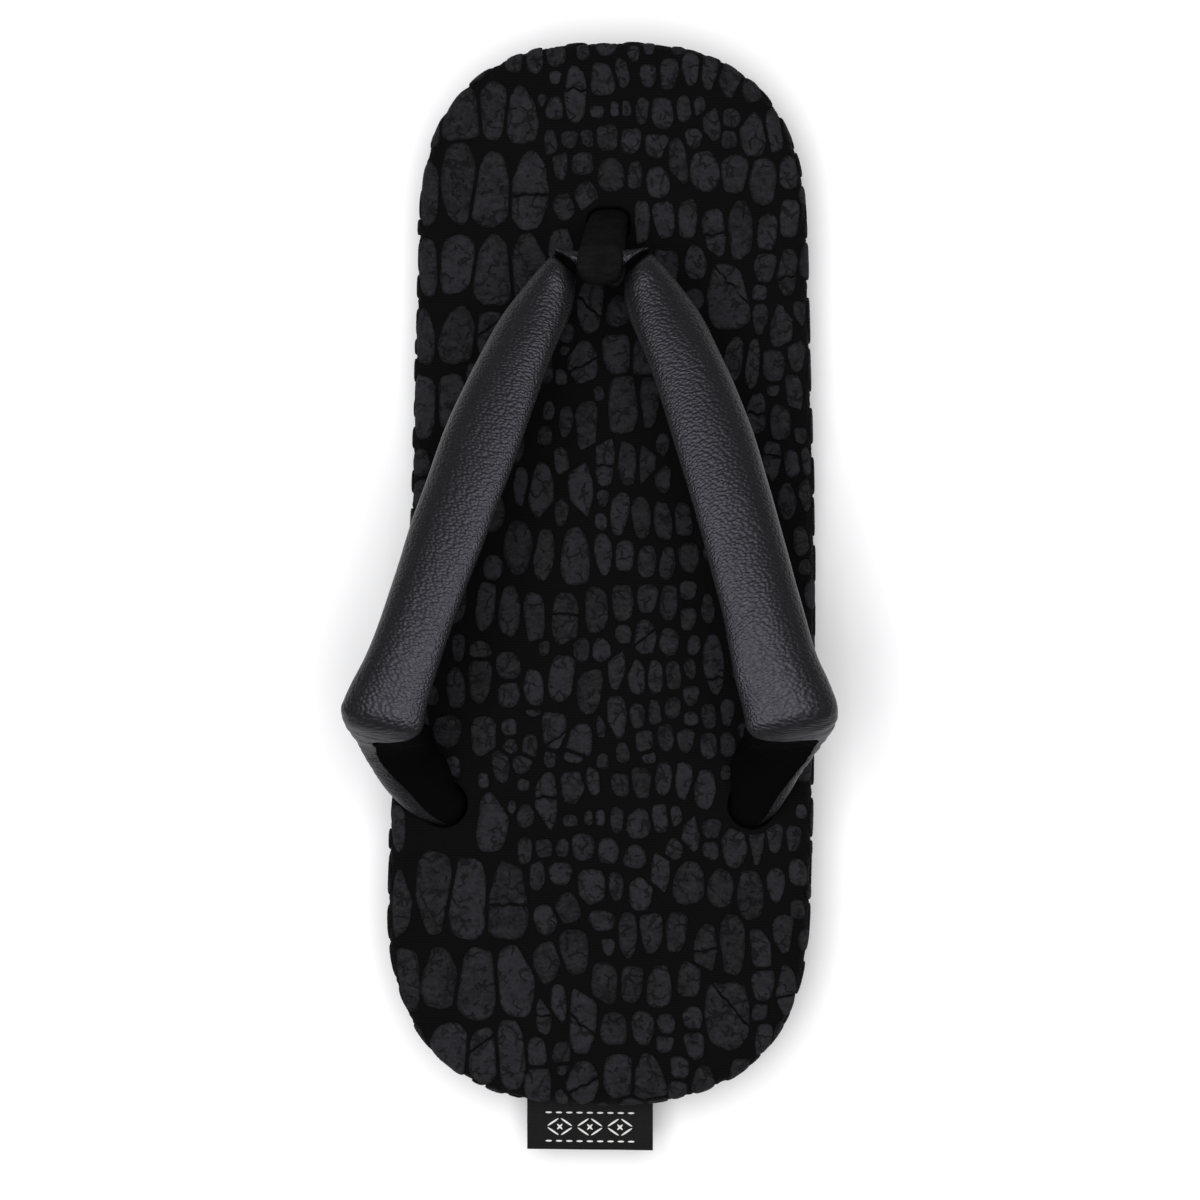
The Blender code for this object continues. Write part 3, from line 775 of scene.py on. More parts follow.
def lay_out_pads(cloth, rng):
    """Every scale of the board: the charted ones in each repeat, then fillers where there is room."""
    pads = [Pad(*scale) for scale in PRINT]
    pads += [
        Pad(*pulled(x, y), width * REPEAT_WIDEN, height * REPEAT_LENGTHEN) for x, y, width, height in PRINT
    ]
    taken = np.array(pads)
    for width, height in FILLERS:
        for y in np.arange(HEEL_Y - FILL_BEYOND, TOE_Y + FILL_BEYOND, height * FILL_STEP):
            row = taken[np.abs(taken[:, 1] - y) < FILL_NEAR_Y]
            for x in np.arange(FILL_FROM_X, FILL_TO_X, width * FILL_STEP):
                size = rng.uniform(0.88, 1.12)
                pad = Pad(x + rng.uniform(-1, 1), y + rng.uniform(-1, 1), width * size, height * size)
                needed = (row[:, 2:] + (pad.width, pad.height)) / 2 + FILL_GAP
                apart = np.abs(row[:, :2] - (pad.x, pad.y)) / needed
                if not len(row) or (apart**PAD_FULLNESS).sum(axis=1).min() > 1.0:
                    pads.append(pad)
                    row = np.vstack((row, pad))
                    taken = np.vstack((taken, pad))
    distance = cloth.nearest(np.array(pads)[:, :2])[0]
    return [pad for pad, d in zip(pads, distance) if d < cloth.ends + max(pad.width, pad.height) / 2]


def split_lines():
    return [*SPLITS, *((*pulled(x, y), turn) for x, y, turn in SPLITS)]


def shape_pad(bm, pad, rng):
    """The scale's flat outline: a rounded oblong, a little uneven and narrower at one end."""
    count = 20 if max(pad.width, pad.height) < 9 else 28
    fullness = rng.uniform(2.1, 3.1)
    taper = rng.uniform(-0.22, 0.22) + (-0.1 if pad.width > 7.5 else 0.06)
    lean = rng.uniform(-0.1, 0.1)
    seed = Vector((rng.uniform(0, 90), rng.uniform(0, 90), 0))
    for vert in bmesh.ops.create_circle(bm, cap_ends=True, segments=count, radius=1.0)["verts"]:
        angle = math.atan2(vert.co.y, vert.co.x)
        across = math.copysign(abs(math.cos(angle)) ** (2 / fullness), math.cos(angle))
        along = math.copysign(abs(math.sin(angle)) ** (2 / fullness), math.sin(angle))
        spot = Vector((across, along, 0))
        rough = 1.03 + 0.12 * noise.noise(seed + spot * 1.2) + 0.07 * noise.noise(seed + spot * 3.1)
        across *= 1 + taper * along
        vert.co.x = pad.x + (across * pad.width / 2 + lean * along * pad.height / 2) * rough
        vert.co.y = pad.y + along * pad.height / 2 * rough


def trim_pad(bm, pad, others, holes, groove):
    """Cuts the scale back where it would touch a neighbour or a strap's hole."""
    for other in others:
        gap = math.hypot(other.x - pad.x, other.y - pad.y)
        angle = math.atan2(other.y - pad.y, other.x - pad.x)
        mine, theirs = reach(pad, angle), reach(other, angle)
        if mine + theirs + groove < gap:
            continue
        edge = gap * mine / (mine + theirs) - groove / 2
        way = Vector((math.cos(angle), math.sin(angle), 0))
        slice_all(bm, Vector((pad.x, pad.y, 0)) + way * edge, way, clear_outer=True)
    for x, y, radius in holes:
        way = Vector((x - pad.x, y - pad.y, 0))
        if way.length < radius:
            bmesh.ops.delete(bm, geom=bm.verts[:], context="VERTS")
            return
        if way.length < radius + max(pad.width, pad.height):
            way.normalize()
            slice_all(bm, Vector((x, y, 0)) - way * radius, way, clear_outer=True)


def crack_off(bm, point, normal):
    """Cuts the scale along a wavy line."""
    cut = slice_all(bm, point, normal, clear_outer=True)["geom_cut"]
    edges = [item for item in cut if isinstance(item, bmesh.types.BMEdge)]
    if not edges:
        return
    made = bmesh.ops.subdivide_edges(bm, edges=edges, cuts=7)["geom_inner"]
    side = Vector((abs(normal.x), abs(normal.y), 0))
    for vert in (item for item in made if isinstance(item, bmesh.types.BMVert)):
        vert.co += side * noise.noise((vert.co - (vert.co - point).dot(normal) * normal) * 0.55) * 1.1


def raise_pad(bm, rise, tone, layers):
    """Turns the flat outline into a low, rounded pad with its foot in the cloth, its terraces marked with the
    level of painted shade that darkens the foot.
    """
    shade_level_layer, tone_layer = layers
    bmesh.ops.remove_doubles(bm, verts=bm.verts, dist=0.15)
    size = math.sqrt(sum(face.calc_area() for face in bm.faces))
    sharp = [vert for vert in bm.verts if corner_angle(vert) > math.radians(CORNER_TURN)]
    if sharp:
        bmesh.ops.bevel(
            bm,
            geom=sharp,
            offset=min(CORNER_RADIUS, size * CORNER_SHARE),
            offset_type="OFFSET",
            segments=2,
            profile=0.5,
            affect="VERTICES",
            clamp_overlap=True,
            material=-1,
        )
        bmesh.ops.remove_doubles(bm, verts=bm.verts, dist=0.06)
    loose = [edge for edge in bm.edges if not edge.link_faces]
    bmesh.ops.delete(bm, geom=loose, context="EDGES")
    outline = np.array([vert.co for vert in bm.verts])
    middle = (outline.max(axis=0) + outline.min(axis=0)) / 2
    half = (outline.max(axis=0) - outline.min(axis=0)) / 2
    for vert in bm.verts:
        vert.co.z = -FOOT_DEPTH
    foot = top = bm.faces[:][0]
    for inset, level, shade_level in TERRACES:
        made = bmesh.ops.extrude_face_region(bm, geom=[top], use_keep_orig=True)["geom"]
        under, top = top, next(item for item in made if isinstance(item, bmesh.types.BMFace))
        if under is not foot:
            bmesh.ops.delete(bm, geom=[under], context="FACES_ONLY")
        shrink = [1 - min(inset, side * inset * 0.3) / side for side in half[:2]]
        bmesh.ops.scale(bm, vec=(*shrink, 1), space=Matrix.Translation(Vector(-middle)), verts=top.verts)
        for vert in top.verts:
            vert.co.z = rise * level
            # The level from which the finish paints shade towards the scale's foot
            vert[shade_level_layer] = shade_level
    for vert in bm.verts:
        vert[tone_layer] = tone


def corner_angle(vert):
    """How far the outline turns at a vertex."""
    first, second = (edge.other_vert(vert).co - vert.co for edge in vert.link_edges[:2])
    return math.pi - first.angle(second, 0.0)


def make_pad(pad, others, cloth, holes, splits, look, rng):
    """One finished scale as meshes on the flat cloth, in one piece or two where a line splits it."""
    shape_seed = rng.random()
    pieces = [None]
    for x, y, turn in splits:
        if math.hypot(x - pad.x, y - pad.y) < reach(pad, math.atan2(y - pad.y, x - pad.x)) * 0.8:
            lean = math.radians(turn + 90)
            normal = Vector((math.cos(lean), math.sin(lean), 0))
            point, gap = Vector((x, y, 0)), normal * SPLIT_HALF_GAP
            pieces = [(point - gap, normal), (point + gap, -normal)]
            break
    tone = rng.random()
    rise = look.scale_rise / MM * rng.uniform(0.85, 1.15)
    made = []
    for part in pieces:
        bm = bmesh.new()
        # The rise layer holds each terrace's level of painted shade
        layers = bm.verts.layers.float.new("rise"), bm.verts.layers.float.new("tone")
        shape_pad(bm, pad, random.Random(shape_seed))
        trim_pad(bm, pad, others, holes, look.groove / MM)
        if part:
            crack_off(bm, *part)
        distance, out = cloth.nearest((pad.x, pad.y))
        far = max(pad.width, pad.height) + distance[0]
        way = Vector((*out[0], 0))
        shoulder = Vector((pad.x, pad.y, 0)) - way * distance[0]
        if far > cloth.ends:
            slice_all(bm, shoulder + way * cloth.ends, way, clear_outer=True)
        if sum(face.calc_area() for face in bm.faces) < LEAST_AREA:
            bm.free()
            continue
        raise_pad(bm, rise, tone, layers)
        if far > 0:
            for step in range(SHOULDER_CUTS + 1):
                slice_all(bm, shoulder + way * cloth.wall_starts * step / SHOULDER_CUTS, way)
        mesh = bpy.data.meshes.new("pad")
        bm.to_mesh(mesh)
        bm.free()
        made.append(mesh)
    return made


# ---- The strap ----


class Strap(NamedTuple):
    """A cross-section of the strap on the inner side of the foot, mirrored for the outer side."""

    out: float  # from the centre line to the section's middle
    y: float
    rise: float  # above the board's top face
    width: float
    thick: float
    heading: float  # degrees from +X round to the outer edge, seen from above
    droop: float  # degrees that the outer edge hangs below the inner one
    twist: float = 0.0  # degrees that the seams have turned round the section


# The last rows turn the seams far round, so that behind the rear fold the black lining covers the rear faces
# as painted shade
STRAP = (
    Strap(0.0, 82.7, 24.4, 4.6, 6.4, 90, 0),
    Strap(5.4, 82.8, 24.4, 4.8, 6.2, 84, 0),
    Strap(7.4, 83.2, 24.8, 5.4, 5.4, 56, 0),
    Strap(8.6, 83.7, 25.0, 6.6, 4.2, 38, 0),
    Strap(8.7, 82.1, 23.0, 7.6, 3.0, 43, 0),
    Strap(9.2, 80.9, 25.6, 8.8, 8.2, 42, 2),
    Strap(10.1, 78.6, 26.7, 10.8, 9.0, 38, 6),
    Strap(11.6, 75.2, 27.3, 13.2, 9.0, 33, 12),
    Strap(13.7, 71.4, 28.0, 15.2, 9.0, 28, 17),
    Strap(16.2, 67.0, 29.0, 16.7, 8.8, 24, 21),
    Strap(21.2, 56.1, 31.6, 17.9, 8.6, 22, 23),
    Strap(27.3, 40.2, 34.6, 19.8, 8.6, 21, 24),
    Strap(33.8, 20.5, 37.4, 19.8, 8.6, 19, 24),
    Strap(40.1, 0.0, 39.0, 19.8, 8.6, 18, 22),
    Strap(45.1, -16.9, 38.6, 21.0, 8.8, 17, 18),
    Strap(47.5, -23.2, 37.8, 22.0, 8.8, 16, 15),
    Strap(48.8, -27.8, 37.0, 22.6, 9.0, 14, 13, -8),
    Strap(48.4, -30.2, 33.4, 22.4, 8.6, 13, 11, -84),
    Strap(46.8, -33.2, 25.4, 19.2, 7.6, 0, 7, -112),
    Strap(43.7, -38.0, 15.6, 16.6, 7.8, -20, 2, -118),
    Strap(40.3, -44.0, 7.4, 16.4, 8.2, -30, -2, -120),
    Strap(39.1, -48.8, 2.6, 13.2, 9.4, -38, 0, -122),
    Strap(38.4, -50.8, 0.2, 10.8, 10.8, -42, 0, -124),
    Strap(38.4, -50.8, -1.0, 10.8, 10.8, -42, 0, -124),
    Strap(38.4, -50.8, -9.7, 10.8, 10.8, -42, 0, -124),
)
STRAP_AROUND = 80
# The columns of the strap's grid between which it is leather: the rest, under it, is lining
OUTER_SEAM, INNER_SEAM = 14, 61
# The table's rows between which the lining is laid as painted shade, in the dark gap where the leather is
# folded over in front
FOLD_SHADE_ROWS = 3.3, 4.6
STRAP_STEPS = 10
FOLD_Y, CREASES_RUN = -33.0, 6.5
FRONT_FOLD_Y, FRONT_FOLD_RUN = 76.0, 30.0
# How far the fullest part of a section lies towards its outer edge
CROWN_SHIFT = 0.35
# How much squarer the sections are along their inner edge, and where the strap lies flat behind its fold
INNER_EDGE = 0.22
FLAT_Y, FLAT_RUN = -36.0, 7.5
# How much squarer a flat stretch is, across the section and through its thickness
FLAT_SIDES, FLAT_FACES = 0.35, 0.45
# The strap on the outer side of the foot is a little fuller midway and slimmer at its two ends
FULLER, SLIMMER, WIDEST_Y, WIDEN_RUN = 0.045, 0.145, 35.0, 100.0
# Behind its fold it also stands further out
SPLAY, SPLAY_Y, SPLAY_END = 3.6, -32.0, -52.0
# How many times further the seams turn on the inner side of the foot
INNER_TWIST = 1.2
# Both arms bow a little to the inner side in front
BOW, BOW_Y, BOW_RUN = 0.7, -8.0, 92.0


def strap_rings(look):
    """The strap's sections from the outer side of the foot round the front to the inner side."""
    rows = [Strap(*row) for row in smooth_rows(STRAP, STRAP_STEPS)]
    middles = np.array([(r.out, r.y, board_top_z(r.y) + r.rise) for r in rows])
    walked = np.concatenate(([0], np.cumsum(np.linalg.norm(np.diff(middles, axis=0), axis=1))))
    columns = np.arange(STRAP_AROUND)
    seam = look.seam_depth / MM * ((columns < OUTER_SEAM) | (columns > INNER_SEAM))
    rings = {-1: [], 1: []}
    for n, row in enumerate(rows):
        tangent = middles[min(n + STRAP_STEPS, len(rows) - 1)] - middles[max(n - STRAP_STEPS, 0)]
        heading, droop = math.radians(row.heading), math.radians(row.droop)
        across = np.array(
            (math.cos(heading) * math.cos(droop), math.sin(heading) * math.cos(droop), -math.sin(droop))
        )
        square = np.cross(tangent, across)
        upright = np.array((0.0, 0.0, 1.0)) - across[2] * across
        upright /= np.linalg.norm(upright)
        bend = ease((FRONT_FOLD_Y - row.y) / FRONT_FOLD_RUN)
        face = bend * square / np.linalg.norm(square) + (1 - bend) * upright
        face /= np.linalg.norm(face)
        free = ease((row.rise - 8) / 20)
        flat = math.exp(-(((row.y - FLAT_Y) / FLAT_RUN) ** 2)) * ease(row.rise / 16)
        bow = BOW * free * math.sin(math.pi * (row.y - BOW_Y) / BOW_RUN)
        slack = math.exp(-(((row.y - FOLD_Y) / CREASES_RUN) ** 2)) * (row.rise > 12)
        splay = math.sin(math.pi * min(max((row.y - SPLAY_Y) / (SPLAY_END - SPLAY_Y), 0.0), 1.0))
        ends = math.sin(math.pi * (row.y - WIDEST_Y) / WIDEN_RUN) ** 4
        for side, made in rings.items():
            if side < 0 and n == 0:
                continue
            twist = math.radians(row.twist * (INNER_TWIST if side > 0 else 1.0))
            turn = 2 * np.pi * columns / STRAP_AROUND - np.pi / 2 + twist
            wide = np.sign(np.cos(turn)) * np.abs(np.cos(turn)) ** (1 - FLAT_SIDES * flat)
            blunt = 1 - FLAT_FACES * flat - INNER_EDGE * free * (wide < 0)
            high = np.sign(np.sin(turn)) * np.abs(np.sin(turn)) ** blunt
            high *= 1 + CROWN_SHIFT * bend * free * (1 - flat) * wide
            lumps = np.array([strap_lump(side, walked[n], angle, slack, look) for angle in turn])
            lumps = (lumps - seam) * ease(row.rise / 8.0)
            widen = 1 + (side < 0) * free * (FULLER - SLIMMER * ends)
            ring = (
                middles[n]
                + np.outer(wide * (row.width * widen / 2 + lumps), across)
                + np.outer(high * (row.thick / 2 + lumps), face)
            )
            shift = bow - (side < 0) * SPLAY * splay * ease(row.rise / 2)
            made.append(np.column_stack((strap_x(ring[:, 1]) + shift + side * ring[:, 0], ring[:, 1:])))
    return rings[-1][::-1] + rings[1]


def line_and_shade_strap(bm):
    """Gives the lining's material to the faces under the seams, and as painted shade to the faces in the fold
    in front.
    """
    lay = bm.loops.layers.uv["lay"]
    for face in bm.faces:
        middle = sum((loop[lay].uv for loop in face.loops), Vector((0, 0))) / len(face.loops)
        column, row = middle.x * STRAP_AROUND, abs(2 * middle.y - 1) * (len(STRAP) - 1)
        folded = FOLD_SHADE_ROWS[0] < row < FOLD_SHADE_ROWS[1]
        face.material_index = int(folded or not OUTER_SEAM < column < INNER_SEAM)


def strap_lump(side, walked, angle, slack, look):
    """How far the leather stands out at one spot: uneven stuffing, and creases where the strap folds down."""
    around = Vector((math.cos(angle), math.sin(angle), 0))
    stuffing = noise.noise(around * 0.9 + Vector((side * 7.0, 0, walked / 14.0)))
    creases = noise.noise(around * 1.1 + Vector((side * 5.0, 3.0, walked / 1.0)))
    return (stuffing * look.unevenness + creases * slack * look.crease_depth) / MM


# ---- The toe loop ----


class Loop(NamedTuple):
    """A level cross-section of the toe loop."""

    rise: float  # above the board's top face
    y: float
    width: float
    depth: float


LOOP = (
    Loop(-9.7, 94.0, 9.8, 7.6),
    Loop(0.0, 94.0, 9.8, 7.6),
    Loop(6.0, 92.2, 10.0, 8.0),
    Loop(12.0, 89.4, 10.3, 8.8),
    Loop(17.0, 86.4, 10.7, 10.0),
    Loop(21.0, 83.8, 11.0, 11.4),
    Loop(25.0, 82.0, 11.2, 11.2),
    Loop(28.0, 81.4, 11.2, 9.0),
    Loop(30.0, 81.0, 11.0, 5.8),
    Loop(30.9, 80.9, 10.6, 3.0),
)


# ---- Settings ----


def length(name, text, default, **limits):
    return bpy.props.FloatProperty(
        name=name, description=text, default=default, unit="LENGTH", precision=5, **limits
    )


def factor(name, text, default):
    return bpy.props.FloatProperty(
        name=name, description=text, default=default, min=0.0, max=1.0, subtype="FACTOR"
    )


def colour(name, text, default):
    return bpy.props.FloatVectorProperty(
        name=name, description=text, default=default, subtype="COLOR", size=3, min=0.0, max=1.0
    )


class SoleLook(bpy.types.PropertyGroup):
    ground_colour: colour("Ground", "Colour of the cloth between its scales", (0.0014, 0.0014, 0.0016))
    scale_colour: colour("Scales", "Colour of the cloth's raised scales", (0.0088, 0.0085, 0.0108))
    rubber_colour: colour("Rubber", "Colour of the outsole", (0.006, 0.006, 0.0062))
    rib_pitch: length("Rib pitch", "Distance between the cloth's ribs", 0.7 * MM, min=0.1 * MM)
    scale_rise: length("Scale height", "How far the scales stand up", 0.62 * MM, min=0.0)
    groove: length("Groove", "Least gap between two scales", 0.66 * MM, min=0.0)
    edge_roughness: length("Edge roughness", "How uneven the cloth is at the board's edge", 0.3 * MM, min=0.0)
    seed: bpy.props.IntProperty(name="Seed", description="Start of the scales' small differences", default=11)


class StrapLook(bpy.types.PropertyGroup):
    colour: colour("Leather", "Colour of the straps", (0.0035, 0.0035, 0.0042))
    roughness: factor("Roughness", "Dullness of the leather", 0.44)
    grain_size: length("Grain size", "Distance between the grain's pebbles", 0.7 * MM, min=0.1 * MM)
    grain_lean: bpy.props.FloatProperty(
        name="Grain lean",
        description="Turn of the grain's rows, in degrees",
        default=-25.0,
        min=-90.0,
        max=90.0,
    )
    grain_depth: length("Grain depth", "How deep the grain is", 0.2 * MM, min=0.0)
    unevenness: length("Unevenness", "How uneven the stuffing is", 0.22 * MM, min=0.0)
    crease_depth: length("Crease depth", "Depth of the creases at the rear folds", 0.32 * MM, min=0.0)
    seam_depth: length("Seam depth", "How far the lining lies below the leather's edge", 0.3 * MM, min=0.0)
    # Also the colour of the painted shade where the lining is laid in the front fold and on the rear faces
    lining_and_shade_colour: colour("Lining", "Colour of the lining under the straps", (0.0016, 0.0016, 0.0017))
    fill: factor("Fill", "How tightly the straps are stuffed", 0.8)


class LoopLook(bpy.types.PropertyGroup):
    colour: colour("Suede", "Colour of the toe loop", (0.0042, 0.0042, 0.0045))
    seam_depth: length("Seam depth", "How deep the line between the loop's two layers is", 0.5 * MM, min=0.0)


class LabelLook(bpy.types.PropertyGroup):
    colour: colour("Ribbon", "Colour of the label", (0.0028, 0.0028, 0.0031))
    thread_colour: colour("Thread", "Colour of the stitched ornament", (0.75, 0.75, 0.73))


class StudioLook(bpy.types.PropertyGroup):
    floor_colour: colour("Floor", "Colour of the paper floor", (0.86, 0.86, 0.87))
    overhead_power: bpy.props.FloatProperty(
        name="Overhead light",
        description="Power of the soft light overhead",
        default=16.5,
        min=0.0,
        unit="POWER",
    )
    room_light: bpy.props.FloatProperty(
        name="Room light", description="Brightness of the dim room all round", default=0.25, min=0.0
    )
    camera_height: length("Camera height", "Height of the camera over the floor", 0.879, min=0.1)


# ---- Operators ----


class SETTA_OT_outsole(bpy.types.Operator):
    """Makes the foamed rubber outsole with the grooves of its tread"""

    bl_idname = "setta.outsole"
    bl_label = "Outsole"

    # The side wall of an outsole of nominal thickness: how far it is inset and at what height
    nominal = 10.0
    wall = (
        (2.6, 0.0), (2.1, 0.12), (1.6, 0.5), (1.4, 1.2), (1.5, 4.0), (1.7, 8.4), (1.8, 9.0), (2.0, 9.7),
        (2.4, 10.0),
    )
    groove_starts = (28.0, -100.0)
    groove_count, groove_pitch = 5, 12.0
    # Each groove's length, its width, and twice its depth, because half of its cutter is under the tread
    groove_cutter = (68.0, 3.0, 3.6)

    def execute(self, context):
        look = context.scene.setta_sole
        bm = bmesh.new()
        sole_layer(bm, self.wall, self.lift)
        outsole = make_piece("outsole_rubber", bm, sponge_rubber(look), ("outsole",), 50)
        carve(outsole, self.tread_grooves())
        return {"FINISHED"}

    def lift(self, y, z):
        return tread_z(y) + z / self.nominal * (joint_z(y) - tread_z(y)) - z

    def tread_grooves(self):
        bm = bmesh.new()
        for first_y in self.groove_starts:
            for n in range(self.groove_count):
                y = first_y + self.groove_pitch * n
                made = bmesh.ops.create_cube(bm, size=1.0)["verts"]
                bmesh.ops.scale(bm, vec=self.groove_cutter, verts=made)
                bmesh.ops.translate(bm, vec=(centre_x(y), y, 0.0), verts=made)
        return bm


class SETTA_OT_footbed(bpy.types.Operator):
    """Makes the cloth-covered board with the holes for straps and loop"""

    bl_idname = "setta.footbed"
    bl_label = "Footbed"

    # The board's side below its rounded shoulder: how far it is inset and at what height
    wall = ((2.6, 0.3), (1.6, 0.6), (0.9, 1.2), (0.35, 2.2), (0.0, 3.5), (0.0, 5.2))
    shoulder_rings, points_round = 10, 1000
    # A hole's cutter: how far it starts below the board, how far down its flare starts, and how far its last
    # two rings lie below and above the board's top; then how much wider each ring is, and its points
    below, flare_depth, rim = 3.0, 3.0, 0.8
    flares = (0.0, 0.0, 0.3, 1.5)
    hole_points = 48

    def execute(self, context):
        look = context.scene.setta_sole
        top = FIT_GAP + BOARD_THICK
        rings = list(self.wall)
        for turn in np.radians(np.linspace(0, 90, self.shoulder_rings)):
            rings.append((EDGE_RADIUS * (1 - math.cos(turn)), top - EDGE_RADIUS * (1 - math.sin(turn))))
        bm = bmesh.new()
        sole_layer(bm, rings, lambda y, z: joint_z(y), self.points_round)
        ruffle(bm, look.edge_roughness / MM)
        footbed = make_piece("footbed_cloth", bm, knit_cloth(look), ("footbed",), 50)
        for x, y, width, depth, fullness in self.holes():
            carve(footbed, self.hole(x, y, width, depth, fullness))
        return {"FINISHED"}

    @staticmethod
    def holes():
        for side in (-1, 1):
            x = strap_x(SIDE_HOLE_Y) + side * SIDE_HOLE_OUT
            yield x, SIDE_HOLE_Y, 2 * SIDE_HOLE_RADIUS, 2 * SIDE_HOLE_RADIUS, 2.0
        yield strap_x(TOE_HOLE_Y), TOE_HOLE_Y, TOE_HOLE_WIDTH, TOE_HOLE_DEPTH, 3.0

    def hole(self, x, y, width, depth, fullness):
        bm = bmesh.new()
        top = board_top_z(y)
        heights = (joint_z(y) - self.below, top - self.flare_depth, top - self.rim, top + self.rim)
        rings = []
        for z, flare in zip(heights, self.flares):
            rings.append(level_ring(x, y, z, width + flare, depth + flare, fullness, self.hole_points))
        rolled(bm, rings)
        return bm


class SETTA_OT_scales(bpy.types.Operator):
    """Makes the raised scales printed on the cloth"""

    bl_idname = "setta.scales"
    bl_label = "Printed scales"

    def execute(self, context):
        look = context.scene.setta_sole
        rng = random.Random(look.seed)
        cloth = Cloth()
        holes, splits = strap_holes(), split_lines()
        pads = lay_out_pads(cloth, rng)
        bm = bmesh.new()
        for pad in pads:
            others = [
                other
                for other in pads
                if other is not pad and abs(other.x - pad.x) < NEAR_X and abs(other.y - pad.y) < NEAR_Y
            ]
            for mesh in make_pad(pad, others, cloth, holes, splits, look, rng):
                bm.from_mesh(mesh)
                bpy.data.meshes.remove(mesh)
        wrapped = cloth.wrap(np.array([vert.co for vert in bm.verts]))
        for vert, place in zip(bm.verts, wrapped):
            vert.co = place
        make_piece("footbed_scales", bm, printed_scale(look), (), 60)
        return {"FINISHED"}


class SETTA_OT_strap(bpy.types.Operator):
    """Makes the padded leather straps and the bar between them"""

    bl_idname = "setta.strap"
    bl_label = "Strap"

    def execute(self, context):
        look = context.scene.setta_strap
        rings = strap_rings(look)
        bm = bmesh.new()
        rolled(bm, rings)
        line_and_shade_strap(bm)
        spread_lay(bm, rings)
        strap = make_piece("strap_leather", bm, soft_leather(look), ("strap",))
        strap.data.materials.append(lining_and_shade(look))
        return {"FINISHED"}


class SETTA_OT_toe_loop(bpy.types.Operator):
    """Makes the suede loop that holds the strap between the toes"""

    bl_idname = "setta.toe_loop"
    bl_label = "Toe loop"

    def execute(self, context):
        look = context.scene.setta_loop
        base = board_top_z(TOE_HOLE_Y)
        rings = []
        for rise, y, width, depth in smooth_rows(LOOP, 5):
            ring = level_ring(strap_x(y), y, base + rise, width, depth, 3.0, 64)
            seam = np.exp(-(((ring[:, 1] - y) / 0.5) ** 2)) * look.seam_depth / MM
            ring[:, 0] -= np.sign(ring[:, 0] - strap_x(y)) * seam * (1 - ease((rise - 17.0) / 4.0))
            rings.append(ring)
        bm = bmesh.new()
        rolled(bm, rings)
        make_piece("toe_loop_suede", bm, suede(look), ("toe_loop",), 60)
        return {"FINISHED"}


class SETTA_OT_label(bpy.types.Operator):
    """Makes the folded ribbon label caught under the heel, with its stitched ornament"""

    bl_idname = "setta.label"
    bl_label = "Label"

    ribbon_thick = 0.36
    leg_steps = 14
    # The ornament: the middles of its diamonds, and the two running lines before and behind them
    diamond_xs, diamond_y = (-10.6, -3.0, 4.6), -132.6
    line_ys, line_x = (-129.0, -136.2), -3.0
    line_stitches, stitch_pitch = 9, 2.6

    def execute(self, context):
        look = context.scene.setta_label
        rings = [self.hairpin(x) for x in np.linspace(LABEL_LOW.x, LABEL_HIGH.x, 41)]
        bm = bmesh.new()
        rolled(bm, rings)
        make_piece("label_ribbon", bm, woven_ribbon(look), ("label",), 50)
        bm = bmesh.new()
        for x, y, run, lean in self.stitches():
            self.stitch(bm, x, y, run, lean)
        make_piece("label_stitches", bm, cotton_thread(look), (), 80)
        return {"FINISHED"}

    def sag(self, x, y):
        """How far the ribbon curls down and waves behind the heel."""
        free = ease((HEEL_Y - 1.0 - y) / (HEEL_Y - 1.0 - LABEL_LOW.y))
        return free * (0.25 + 0.2 * noise.noise(Vector((x / 9.0, 0.3, 0.0))))

    def hairpin(self, x):
        """The section of the ribbon, folded back on itself at its rear end."""
        half = self.ribbon_thick / 2
        middle = (LABEL_LOW.z + LABEL_HIGH.z) / 2
        bend = (LABEL_HIGH.z - LABEL_LOW.z) / 2 - half
        legs = np.linspace(LABEL_HIGH.y, LABEL_LOW.y + bend + half, self.leg_steps)
        turn = np.linspace(-np.pi / 2, np.pi / 2, 9)[1:-1]
        path = [(y, middle - bend) for y in legs]
        path += [(legs[-1] - bend * math.cos(a), middle + bend * math.sin(a)) for a in turn]
        path += [(y, middle + bend) for y in legs[::-1]]
        path = np.array(path)
        along = np.gradient(path, axis=0)
        along /= np.linalg.norm(along, axis=1)[:, None]
        side = np.column_stack((along[:, 1], -along[:, 0])) * half
        section = np.vstack((path - side, (path + side)[::-1]))
        section[:, 1] -= [self.sag(x, y) for y in section[:, 0]]
        return np.column_stack((np.full(len(section), x), section))

    def stitches(self):
        """Middle, length and lean in degrees of each stitch: crossed diamonds between two running lines."""
        y = self.diamond_y
        for x in self.diamond_xs:
            for side in (-1, 1):
                for end in (-1, 1):
                    yield x + side * 1.7, y + end * 1.15, 3.5, -side * end * 34
                yield x, y, 2.0, side * 45
        for y in self.line_ys:
            for n in range(self.line_stitches):
                yield self.line_x + (n - self.line_stitches // 2) * self.stitch_pitch, y, 1.7, 0

    def stitch(self, bm, x, y, run, lean):
        """One stitch of thread: a short round bead drawn long, its ends sunk in the ribbon."""
        made = bmesh.ops.create_uvsphere(bm, u_segments=12, v_segments=8, radius=0.5)["verts"]
        bmesh.ops.scale(bm, vec=(run, 0.5, 0.42), verts=made)
        bmesh.ops.rotate(bm, cent=(0, 0, 0), matrix=Matrix.Rotation(math.radians(lean), 3, "Z"), verts=made)
        bmesh.ops.translate(bm, vec=(x, y, LABEL_HIGH.z - self.sag(x, y) + 0.02), verts=made)


